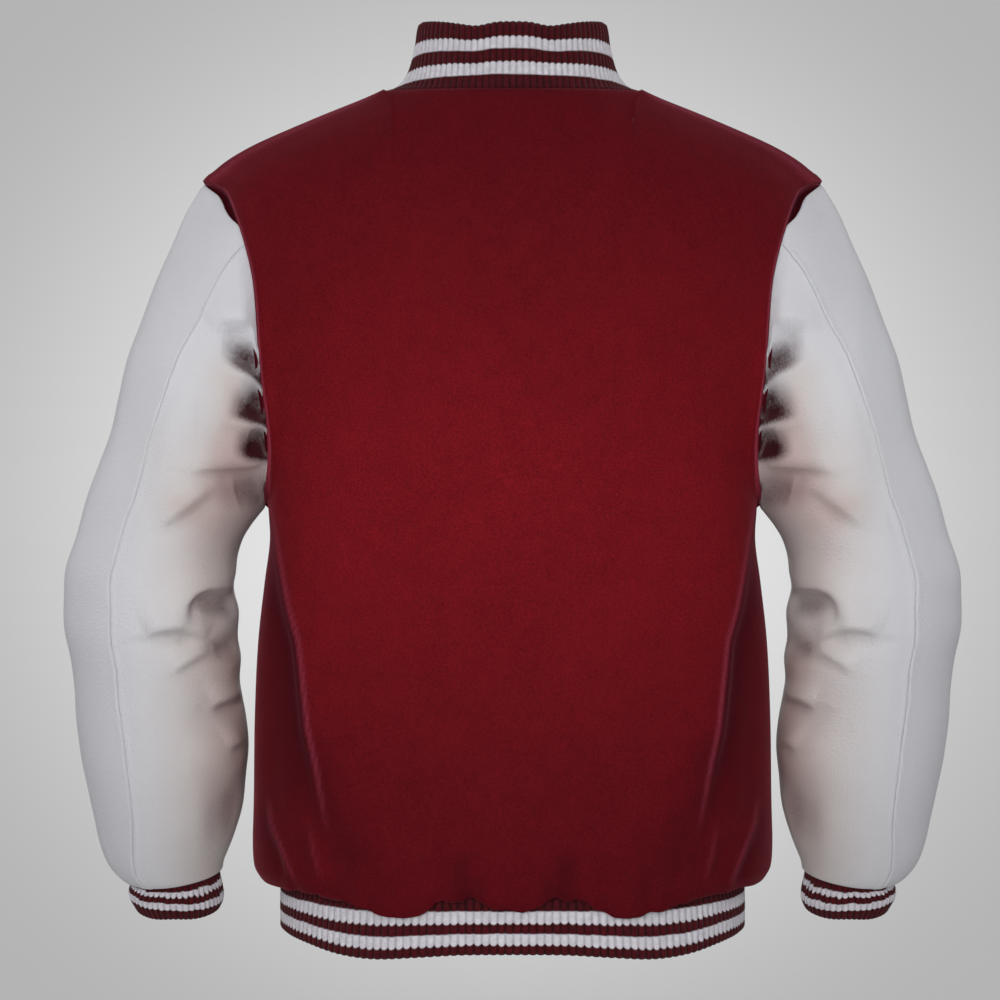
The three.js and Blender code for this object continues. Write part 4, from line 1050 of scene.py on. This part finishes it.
class Nodes:
    """Short hand for building one node material."""

    def __init__(self, name):
        self.material = bpy.data.materials.new(name)
        self.material.use_nodes = True
        self.tree = self.material.node_tree
        self.tree.nodes.clear()
        self.shader = self.tree.nodes.new("ShaderNodeBsdfPrincipled")
        output = self.tree.nodes.new("ShaderNodeOutputMaterial")
        self.link(self.shader.outputs["BSDF"], output.inputs["Surface"])
        self.place = self.tree.nodes.new("ShaderNodeTexCoord").outputs["Object"]

    def link(self, source, target):
        self.tree.links.new(source, target)

    def feed(self, socket, value):
        if hasattr(value, "is_output"):
            self.link(value, socket)
        else:
            socket.default_value = value

    def noise(self, scale, detail=3.0, roughness=0.55, vector=None, distortion=0.0):
        node = self.tree.nodes.new("ShaderNodeTexNoise")
        self.feed(node.inputs["Vector"], vector or self.place)
        node.inputs["Scale"].default_value = scale
        node.inputs["Detail"].default_value = detail
        node.inputs["Roughness"].default_value = roughness
        node.inputs["Distortion"].default_value = distortion
        return node.outputs["Fac"]

    def cells(self, scale, feature="F1", vector=None, randomness=1.0):
        node = self.tree.nodes.new("ShaderNodeTexVoronoi")
        node.feature = feature
        self.feed(node.inputs["Vector"], vector or self.place)
        node.inputs["Scale"].default_value = scale
        node.inputs["Randomness"].default_value = randomness
        return node.outputs["Distance"]

    def math(self, operation, first, second=0.0):
        node = self.tree.nodes.new("ShaderNodeMath")
        node.operation = operation
        self.feed(node.inputs[0], first)
        self.feed(node.inputs[1], second)
        return node.outputs[0]

    def add(self, first, second):
        return self.math("ADD", first, second)

    def less(self, first, second):
        return self.math("SUBTRACT", first, second)

    def times(self, first, second):
        return self.math("MULTIPLY", first, second)

    def settings(self, **values):
        for name, value in values.items():
            self.shader.inputs[name.replace("_", " ")].default_value = value

    def span(self, value, low, high, start=0.0, end=1.0, smoothly=False):
        node = self.tree.nodes.new("ShaderNodeMapRange")
        if smoothly:
            node.interpolation_type = "SMOOTHSTEP"
        self.feed(node.inputs["Value"], value)
        self.feed(node.inputs["From Min"], low)
        self.feed(node.inputs["From Max"], high)
        node.inputs["To Min"].default_value = start
        node.inputs["To Max"].default_value = end
        return node.outputs["Result"]

    def blend(self, share, first, second, way="MIX"):
        node = self.tree.nodes.new("ShaderNodeMix")
        node.data_type = "RGBA"
        node.blend_type = way
        self.feed(node.inputs["Factor"], share)
        self.feed(node.inputs[6], first)
        self.feed(node.inputs[7], second)
        return node.outputs[2]

    def bump(self, height, strength, distance, normal=None):
        node = self.tree.nodes.new("ShaderNodeBump")
        node.inputs["Strength"].default_value = strength
        node.inputs["Distance"].default_value = distance
        self.feed(node.inputs["Height"], height)
        if normal is not None:
            self.link(normal, node.inputs["Normal"])
        return node.outputs["Normal"]

    def separate(self, vector):
        node = self.tree.nodes.new("ShaderNodeSeparateXYZ")
        self.link(vector, node.inputs[0])
        return node.outputs

    def uv(self):
        node = self.tree.nodes.new("ShaderNodeUVMap")
        node.uv_map = "place"
        return self.separate(node.outputs["UV"])


WOOL_DARK = linear(82, 9, 15)
WOOL_LIGHT = linear(128, 20, 29)
# Colour of the wool's painted shade
WOOL_SHADE = linear(50, 4, 13)
# Colour of the wool's painted highlight
WOOL_PAINTED_HIGHLIGHT = linear(164, 70, 92)
WOOL_SHEEN = linear(232, 120, 140)
# The warm and blush tones of the leather below are painted warm reflection of the wool
LEATHER_WARM_REFLECTION = linear(197, 186, 181)
LEATHER_COOL = linear(207, 207, 211)
LEATHER_REFLECTED_BLUSH = linear(184, 155, 151)
LEATHER_SHADE = linear(74, 48, 52)
# Painted shade of the leather's deepest creases, with a painted maroon reflection of the wool
LEATHER_CREASE_SHADE = linear(54, 13, 17)


def wool_material():
    m = Nodes("wool")
    grain = m.noise(620, 4, 0.75)
    mottle = m.noise(60, 4, 0.6)
    slow = m.noise(9, 2, 0.5)
    mixed = m.add(m.times(grain, 1.3), m.times(mottle, 0.3))
    shade = m.span(m.add(mixed, m.times(slow, 0.2)), 0.6, 1.2)
    place = m.uv()
    plain = m.blend(shade, WOOL_DARK, WOOL_LIGHT)
    # Painted shade: place[0] darkens the wool towards the shade colour
    shaded = m.blend(m.times(place[0], 0.85), plain, WOOL_SHADE)
    # Painted highlight: place[1] lightens the wool towards the painted highlight colour
    painted_highlight = m.times(place[1], m.span(grain, 0.3, 0.7, 0.35, 0.75))
    m.feed(m.shader.inputs["Base Color"], m.blend(painted_highlight, shaded, WOOL_PAINTED_HIGHLIGHT))
    m.settings(Roughness=0.92, Specular_IOR_Level=0.08, Sheen_Weight=0.16, Sheen_Roughness=0.35)
    m.settings(Sheen_Tint=WOOL_SHEEN)
    nap = m.noise(900, 4, 0.7)
    felt = m.noise(260, 3, 0.6, distortion=0.6)
    height = m.add(m.times(nap, 0.5), m.times(felt, 0.7))
    m.feed(m.shader.inputs["Normal"], m.bump(height, 0.55, 0.0006))
    return m.material


def leather_material():
    m = Nodes("leather")
    patch = m.noise(11, 3, 0.55)
    place = m.uv()
    # Painted warm reflection of the wool, from place[1]
    warm_reflection = m.times(place[1], m.span(patch, 0.3, 0.7, 0.75, 1.0))
    even = m.blend(warm_reflection, LEATHER_COOL, LEATHER_WARM_REFLECTION)
    plain = m.blend(m.span(warm_reflection, 0.7, 1.9), even, LEATHER_REFLECTED_BLUSH)
    # Painted shade in the creases from place[0], mottled by noise inside the shade
    uneven = m.times(m.less(m.noise(75, 4, 0.6), 0.5), 0.16)
    speck = m.times(m.less(m.cells(420, "SMOOTH_F1"), 0.4), 0.2)
    shade_mottle = m.times(m.add(uneven, speck), m.span(place[0], 0.1, 0.5))
    hollow = m.add(place[0], shade_mottle)
    deep = m.blend(m.span(hollow, 0.4, 0.75, 0.0, 1.0, True), LEATHER_SHADE, LEATHER_CREASE_SHADE)
    crease_shade = m.span(hollow, 0.04, 0.9)
    m.feed(m.shader.inputs["Base Color"], m.blend(crease_shade, plain, deep))
    m.feed(m.shader.inputs["Roughness"], m.span(m.noise(55, 3, 0.5), 0.3, 0.7, 0.5, 0.62))
    m.settings(Specular_IOR_Level=0.42)
    pebble = m.cells(520, "SMOOTH_F1")
    fine = m.noise(700, 3, 0.6)
    grain = m.add(m.times(pebble, 0.9), m.times(fine, 0.35))
    wear = m.bump(m.noise(70, 4, 0.6), 0.15, 0.0012)
    m.feed(m.shader.inputs["Normal"], m.bump(grain, 0.7, 0.0006, wear))
    return m.material


MAROON_DARK = linear(62, 8, 15)
MAROON_LIGHT = linear(80, 15, 22)
WHITE_DARK = linear(196, 192, 197)
WHITE_LIGHT = linear(216, 213, 218)

# Half the soft edge of a stripe, and what the colours are multiplied by between two ribs as painted shade
STRIPE_SOFT = 0.01
UNCHANGED = (1.0, 1.0, 1.0, 1.0)
MAROON_VALLEY_SHADE = (0.42, 0.42, 0.42, 1.0)
WHITE_VALLEY_SHADE = (0.74, 0.73, 0.77, 1.0)


def knit_material(name, stripes, stitch_rows, teeth, crumple):
    """Ribbed knit. Stripes are start and end shares of the band, teeth how far the ribs notch them there."""
    m = Nodes(name)
    place = m.uv()
    phase = m.math("FRACT", place[0])
    across = m.math("ABSOLUTE", m.less(phase, 0.5))
    square = m.times(across, across)
    jitter = m.times(m.less(m.noise(90, 2, 0.5), 0.5), crumple)
    down = m.add(place[1], jitter)
    from_start = m.add(down, m.times(square, teeth[0]))
    from_end = m.add(down, m.times(square, teeth[1]))
    white = 0.0
    for start, end in stripes:
        begun = m.span(from_start, start - STRIPE_SOFT, start + STRIPE_SOFT)
        left = m.span(from_end, end + STRIPE_SOFT, end - STRIPE_SOFT)
        inside = m.times(begun, left)
        white = inside if isinstance(white, float) else m.add(white, inside)
    mottle = m.noise(240, 3, 0.6)
    maroon = m.blend(m.span(mottle, 0.3, 0.7), MAROON_DARK, MAROON_LIGHT)
    pale = m.blend(m.span(mottle, 0.3, 0.7), WHITE_DARK, WHITE_LIGHT)
    # Painted shade in the valleys between the ribs
    valley = m.span(across, 0.2, 0.5, 0.0, 1.0, True)
    valley_shade_colour = m.blend(white, MAROON_VALLEY_SHADE, WHITE_VALLEY_SHADE)
    painted_valley_shade = m.blend(valley, UNCHANGED, valley_shade_colour)
    colour = m.blend(white, maroon, pale)
    m.feed(m.shader.inputs["Base Color"], m.blend(1.0, colour, painted_valley_shade, "MULTIPLY"))
    m.settings(Roughness=0.88, Specular_IOR_Level=0.15, Sheen_Weight=0.06, Sheen_Roughness=0.5)
    vee = m.add(m.times(place[1], stitch_rows), m.times(across, 1.6))
    loops = m.math("ABSOLUTE", m.less(m.math("FRACT", vee), 0.5))
    yarn = m.noise(1400, 2, 0.6)
    height = m.add(m.times(loops, 1.2), m.times(yarn, 0.4))
    m.feed(m.shader.inputs["Normal"], m.bump(height, 0.6, 0.0005))
    return m.material


def snap_material():
    m = Nodes("snap")
    m.feed(m.shader.inputs["Base Color"], m.blend(m.noise(120, 2), linear(80, 18, 26), linear(92, 24, 32)))
    m.settings(Roughness=0.32, Metallic=0.15, Coat_Weight=0.3)
    return m.material


MATERIALS = {
    "wool": wool_material(),
    "leather": leather_material(),
    "collar_knit": knit_material("knit_collar", [(0.22, 0.41), (0.60, 0.78)], 27, (0.0, 0.07), 0.03),
    "hem_knit": knit_material("knit_hem", [(0.37, 0.55), (0.69, 0.86)], 26, (0.02, 0.12), 0.03),
    "cuff_knit": knit_material("knit_cuff", [(0.20, 0.31), (0.44, 0.64)], 18, (0.04, 0.14), 0.14),
    "snap": snap_material(),
}


def finish_piece(made, material, node):
    """Give a piece its material and its body, and hide the CAD part of the node that it stands for."""
    made.data.materials.append(MATERIALS[material])
    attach(made, "root")
    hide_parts(node)
    return made


# Wool turned under at the armhole: its columns, how deep it lies and how far it goes on under the leather,
# and its hollow as a share of the depth, which is full where the gap to the leather is this wide
FLANGE_COLUMNS = 5
FLANGE_DEPTH = 4.2
FLANGE_UNDER = 6.0
FLANGE_HOLLOW = 1.2
FLANGE_FULL = 5.0
FLANGE_WOOL = 1.2
FLANGE_TUCK = 0.3

# A place within the sleeve's head, and a small step along the sleeve or round it
SLEEVE_HEAD_MIDDLE = (190.0, 0.0, -200.0)
SMALL_STEP = 0.05


def armhole_flange(face):
    """Wool that turns under at the left armhole: places and outward directions, for each row of a panel."""
    v = samples(0, TOP_ROW, BODY_UP, (0, TOP_ROW))
    step = face * (ARMHOLE_ROWS - (np.maximum(v, UNDERARM_ROW) - UNDERARM_ROW))
    way = np.arange(1, FLANGE_COLUMNS + 1) / FLANGE_COLUMNS
    reach = (head_gap(step) + FLANGE_UNDER) / HEAD_PITCH
    t = reach[:, None] * way[None, :]
    steps = np.broadcast_to(step[:, None], t.shape)
    places = sleeve_base(t, steps)
    ahead = sleeve_base(t + SMALL_STEP, steps) - places
    around = sleeve_base(t, steps + SMALL_STEP) - places
    outward = unit(np.cross(ahead, around))
    from_middle = places - np.array(SLEEVE_HEAD_MIDDLE)
    outward = outward * np.sign(np.sum(outward * from_middle, axis=-1, keepdims=True))
    hollow = FLANGE_HOLLOW * np.clip(head_gap(step) / FLANGE_FULL, 0, 1)
    depth = FLANGE_DEPTH * (1 + hollow[:, None] * np.sin(np.pi * way)[None, :])
    places = places - outward * depth[..., None]
    return places, outward, v


def with_flange(face, outer, inner, place, both):
    """A body panel's faces with its turned-under armhole edges added."""
    places, outward, v = armhole_flange(face)
    below = (v < UNDERARM_ROW)[:, None, None]
    way = (np.arange(1, FLANGE_COLUMNS + 1) / FLANGE_COLUMNS)[None, :, None]
    edge_way = unit(outer[:, -1:] - inner[:, -1:])
    tucked = outer[:, -1:] - edge_way * way * FLANGE_WOOL
    outer_part = np.where(below, tucked, places)
    inner_part = np.where(below, inner[:, -1:] + edge_way * way * FLANGE_TUCK, places - outward * FLANGE_WOOL)
    # Above the underarm the turned-under wool gets full painted shade
    shaded = np.where(below, 0.0, np.array([1.0, 0.0])) * np.ones(outer_part.shape[:2] + (1,))
    sides = [[outer, outer_part], [inner, inner_part], [place, shaded]]
    if both:
        sides[0].insert(0, mirror(outer_part)[:, ::-1])
        sides[1].insert(0, mirror(inner_part)[:, ::-1])
        sides[2].insert(0, shaded[:, ::-1])
    return [np.concatenate(parts, axis=1) for parts in sides]


# Body
back_columns = samples(-SIDE_COLUMNS, SIDE_COLUMNS, BODY_ACROSS, (-SIDE_COLUMNS, SIDE_COLUMNS))
front_columns = samples(-1, SIDE_COLUMNS, BODY_ACROSS, (-1, SIDE_COLUMNS))
back_grids, back_base = body_panel(1, back_columns, BACK_FOLDS, BACK_TUCKS, BACK_SHADES)
left_grids, left_base = body_panel(-1, front_columns, FRONT_FOLDS, FRONT_TUCKS)
right_grids, right_base = body_panel(-1, front_columns, FRONT_FOLDS, FRONT_TUCKS, (), LAP_RECESS)
back_parts = with_flange(1, *back_grids, True)
left_parts = with_flange(-1, *left_grids, False)
right_outer, right_inner, right_place = with_flange(-1, *right_grids, False)
right_parts = (mirror(right_outer), mirror(right_inner), right_place)

back_panel = finish_piece(shell("back_panel_cloth", *back_parts), "wool", "back_panel")
front_left = finish_piece(shell("front_left_cloth", *left_parts), "wool", "front_left")
front_right = finish_piece(shell("front_right_cloth", *right_parts), "wool", "front_right")


def walk_edge(row, front_from, front_to, back_limit):
    """Edge of the body from the left front round the back to the right front."""
    front_pick = (front_columns >= front_from) & (front_columns <= front_to)
    back_pick = np.abs(back_columns) <= back_limit
    left_part = left_base[row][front_pick]
    back_part = back_base[row][back_pick][::-1]
    right_part = mirror(right_base[row][front_pick])[::-1]
    return np.vstack([left_part, back_part[1:-1], right_part])


neck_line = walk_edge(-1, 0, NECK_COLUMNS, NECK_COLUMNS) + np.array([0, 0, SEWN_GAP])
neck_line[:, 1:] = (neck_line[:, 1:] + neck_line[::-1, 1:]) / 2
neck_line[0, 0] += CENTRE_GAP
neck_line[-1, 0] -= CENTRE_GAP
hem_line = walk_edge(0, -1, SIDE_COLUMNS, SIDE_COLUMNS) - np.array([0, 0, SEWN_GAP])

COLLAR_HEIGHT = COLLAR_ROWS[-1][0]
HEM_HEIGHT = HEM_ROWS[-1][0]
collar_parts = knit_strip(neck_line, COLLAR_RIBS, COLLAR_ROWS, COLLAR_HEIGHT, 1, True, COLLAR_WAVE)
collar = finish_piece(shell("collar_knit", *collar_parts), "collar_knit", "collar")
hem_parts = knit_strip(hem_line, HEM_RIBS, HEM_ROWS, HEM_HEIGHT, -1, False, HEM_SAG)
hem_band = finish_piece(shell("hem_band_knit", *hem_parts), "hem_knit", "hem_band")

# Sleeves and cuffs
sleeve_parts = {
    "top": sleeve_panel(FORE_SEAM_STEP, HIND_SEAM_STEP),
    "under": sleeve_panel(HIND_SEAM_STEP, RING_STEPS + FORE_SEAM_STEP),
}
sleeves = []
for part, (outer, inner, shade) in sleeve_parts.items():
    for side, turned in (("left", False), ("right", True)):
        grids = (mirror(outer), mirror(inner)) if turned else (outer, inner)
        made = shell(f"sleeve_{side}_{part}_leather", *grids, shade)
        sleeves.append(finish_piece(made, "leather", f"sleeve_{side}_{part}"))

cuff_outer, cuff_inner, cuff_place = cuff_strip()
cuff_left = finish_piece(
    shell("cuff_left_knit", cuff_outer, cuff_inner, cuff_place, True), "cuff_knit", "cuff_left"
)
cuff_right = finish_piece(
    shell("cuff_right_knit", mirror(cuff_outer), mirror(cuff_inner), cuff_place, True),
    "cuff_knit", "cuff_right",
)

# Snap caps on the front lap: profile by radius and height in mm
SNAP_COUNT = 7
SNAP_PROFILE = [
    (0.0, 2.45), (1.6, 2.42), (3.2, 2.25), (4.4, 1.95), (4.9, 1.75), (5.3, 1.95), (6.1, 2.2),
    (6.8, 2.1), (7.3, 1.7), (7.5, 1.1), (7.5, 0.0), (0.0, 0.0),
]
SNAP_SIDES = 48


def snap_cap(name, centre, axis):
    """One snap cap, turned round its axis from the profile."""
    axis = np.array(axis)
    across = unit(np.cross(np.array([1.0, 0, 0]), axis))
    sideways = np.cross(across, axis)
    points = []
    faces = []
    count = len(SNAP_PROFILE)
    for k in range(SNAP_SIDES):
        turn = 2 * math.pi * k / SNAP_SIDES
        way = across * math.cos(turn) + sideways * math.sin(turn)
        points.extend(centre + way * radius + axis * height for radius, height in SNAP_PROFILE[1:-1])
    ring = count - 2
    top = len(points)
    points.append(centre + axis * SNAP_PROFILE[0][1])
    points.append(centre + axis * SNAP_PROFILE[-1][1])
    for k in range(SNAP_SIDES):
        after = (k + 1) % SNAP_SIDES
        for i in range(ring - 1):
            faces.append((k * ring + i, k * ring + i + 1, after * ring + i + 1, after * ring + i))
        faces.append((top, k * ring, after * ring))
        faces.append((top + 1, after * ring + ring - 1, k * ring + ring - 1))
    mesh = bpy.data.meshes.new(name)
    mesh.from_pydata([tuple(np.array(point) * MM) for point in points], [], faces)
    mesh.polygons.foreach_set("use_smooth", [True] * len(mesh.polygons))
    mesh.update()
    made = bpy.data.objects.new(name, mesh)
    bpy.context.scene.collection.objects.link(made)
    return made


for number in range(1, SNAP_COUNT + 1):
    low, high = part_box(f"snap_{number}")
    middle = [(low[i] + high[i]) / 2 / MM for i in range(3)]
    seat = np.array([middle[0], high[1] / MM - 0.05, middle[2]])
    made = snap_cap(f"snap_{number}_cap", seat, (0.0, -1.0, 0.0))
    finish_piece(made, "snap", f"snap_{number}")

# Each sleeve's name is tested for "_top_"; nothing is kept
for made in sleeves:
    "_top_" in made.name

# Camera: level behind the jacket, as in the photograph; places in metres, lens and sensor in mm
CAMERA_DISTANCE = 2.4
CAMERA_X = 0.010
CAMERA_Z = -0.3264
LENS = 108.0
SENSOR = 36.0
camera_data = bpy.data.cameras.new("camera")
camera_data.lens = LENS
camera_data.sensor_width = SENSOR
camera = bpy.data.objects.new("camera", camera_data)
bpy.context.scene.collection.objects.link(camera)
camera.location = (CAMERA_X, CAMERA_DISTANCE, CAMERA_Z)
camera.rotation_euler = (math.radians(90), 0, math.radians(180))
bpy.context.scene.camera = camera

# Pale floor, well below the jacket, in metres
FLOOR_Z = -1.3
FLOOR_SIZE = 3.0
bpy.ops.mesh.primitive_plane_add(size=FLOOR_SIZE, location=(0, 0, FLOOR_Z))
floor = bpy.context.object
floor.name = "floor"
floor_material = bpy.data.materials.new("floor")
floor_material.use_nodes = True
floor_shader = floor_material.node_tree.nodes["Principled BSDF"]
floor_shader.inputs["Base Color"].default_value = linear(200, 200, 200)
floor_shader.inputs["Roughness"].default_value = 0.9
floor.data.materials.append(floor_material)


def area_light(name, place, target, size, power, spread=180.0):
    """Soft light: place and target in metres, width and height, power in watts and spread in degrees."""
    data = bpy.data.lights.new(name, "AREA")
    data.shape = "RECTANGLE"
    data.size, data.size_y = size
    data.energy = power
    data.spread = math.radians(spread)
    light = bpy.data.objects.new(name, data)
    bpy.context.scene.collection.objects.link(light)
    place = np.array(place, float)
    away = unit(place - np.array(target, float))
    light.location = place
    light.rotation_euler = (math.acos(away[2]), 0, math.atan2(away[1], away[0]) + math.pi / 2)
    return light


JACKET_MIDDLE = (0.0, 0.0, -0.33)
area_light("key", (0.3, 3.2, 0.5), (0.0, 0.0, -0.38), (1.0, 1.0), 34)
area_light("middle", (0.1, 2.6, -0.2), (0.0, 0.0, -0.37), (0.5, 0.5), 1.0, 36.0)
area_light("above", (0.0, 1.4, 2.2), JACKET_MIDDLE, (1.6, 1.0), 5)
area_light("rim_left", (2.2, -1.0, 0.5), JACKET_MIDDLE, (0.7, 1.6), 12)
area_light("rim_right", (-2.2, -1.0, 0.5), JACKET_MIDDLE, (0.7, 1.6), 12)
area_light("front", (0.0, -3.0, 0.4), JACKET_MIDDLE, (1.6, 1.6), 30)

# World: an even soft light on the jacket, and behind it a backdrop that is brightest in the middle. Its
# two grey tones are 8-bit values, and the places where the fall starts and ends are lengths off the axis
AMBIENT = 0.34
BACKDROP_MIDDLE = 228
BACKDROP_EDGE = 180
BACKDROP_EVEN = 0.05
BACKDROP_END = 0.23
world = bpy.data.worlds.new("studio")
bpy.context.scene.world = world
world.use_nodes = True
sky = world.node_tree
sky.nodes.clear()
ambient = sky.nodes.new("ShaderNodeBackground")
ambient.inputs["Color"].default_value = linear(236, 236, 240)
ambient.inputs["Strength"].default_value = AMBIENT
backdrop = sky.nodes.new("ShaderNodeBackground")
direction = sky.nodes.new("ShaderNodeTexCoord").outputs["Generated"]
squash = sky.nodes.new("ShaderNodeVectorMath")
squash.operation = "MULTIPLY"
squash.inputs[1].default_value = (1.0, 0.0, 1.05)
sky.links.new(direction, squash.inputs[0])
far_off = sky.nodes.new("ShaderNodeVectorMath")
far_off.operation = "LENGTH"
sky.links.new(squash.outputs[0], far_off.inputs[0])
fall = sky.nodes.new("ShaderNodeMapRange")
fall.interpolation_type = "SMOOTHSTEP"
fall.inputs["From Min"].default_value = BACKDROP_EVEN
fall.inputs["From Max"].default_value = BACKDROP_END
sky.links.new(far_off.outputs["Value"], fall.inputs["Value"])
tone = sky.nodes.new("ShaderNodeMix")
tone.data_type = "RGBA"
tone.inputs[6].default_value = linear(BACKDROP_MIDDLE, BACKDROP_MIDDLE, BACKDROP_MIDDLE)
tone.inputs[7].default_value = linear(BACKDROP_EDGE, BACKDROP_EDGE, BACKDROP_EDGE)
sky.links.new(fall.outputs["Result"], tone.inputs[0])
sky.links.new(tone.outputs[2], backdrop.inputs["Color"])
rays = sky.nodes.new("ShaderNodeLightPath")
either = sky.nodes.new("ShaderNodeMixShader")
sky.links.new(rays.outputs["Is Camera Ray"], either.inputs[0])
sky.links.new(ambient.outputs[0], either.inputs[1])
sky.links.new(backdrop.outputs[0], either.inputs[2])
surface = sky.nodes.new("ShaderNodeOutputWorld")
sky.links.new(either.outputs[0], surface.inputs["Surface"])

bpy.context.scene.view_settings.view_transform = "Standard"
bpy.context.scene.view_settings.look = "None"

bpy.context.view_layer.update()
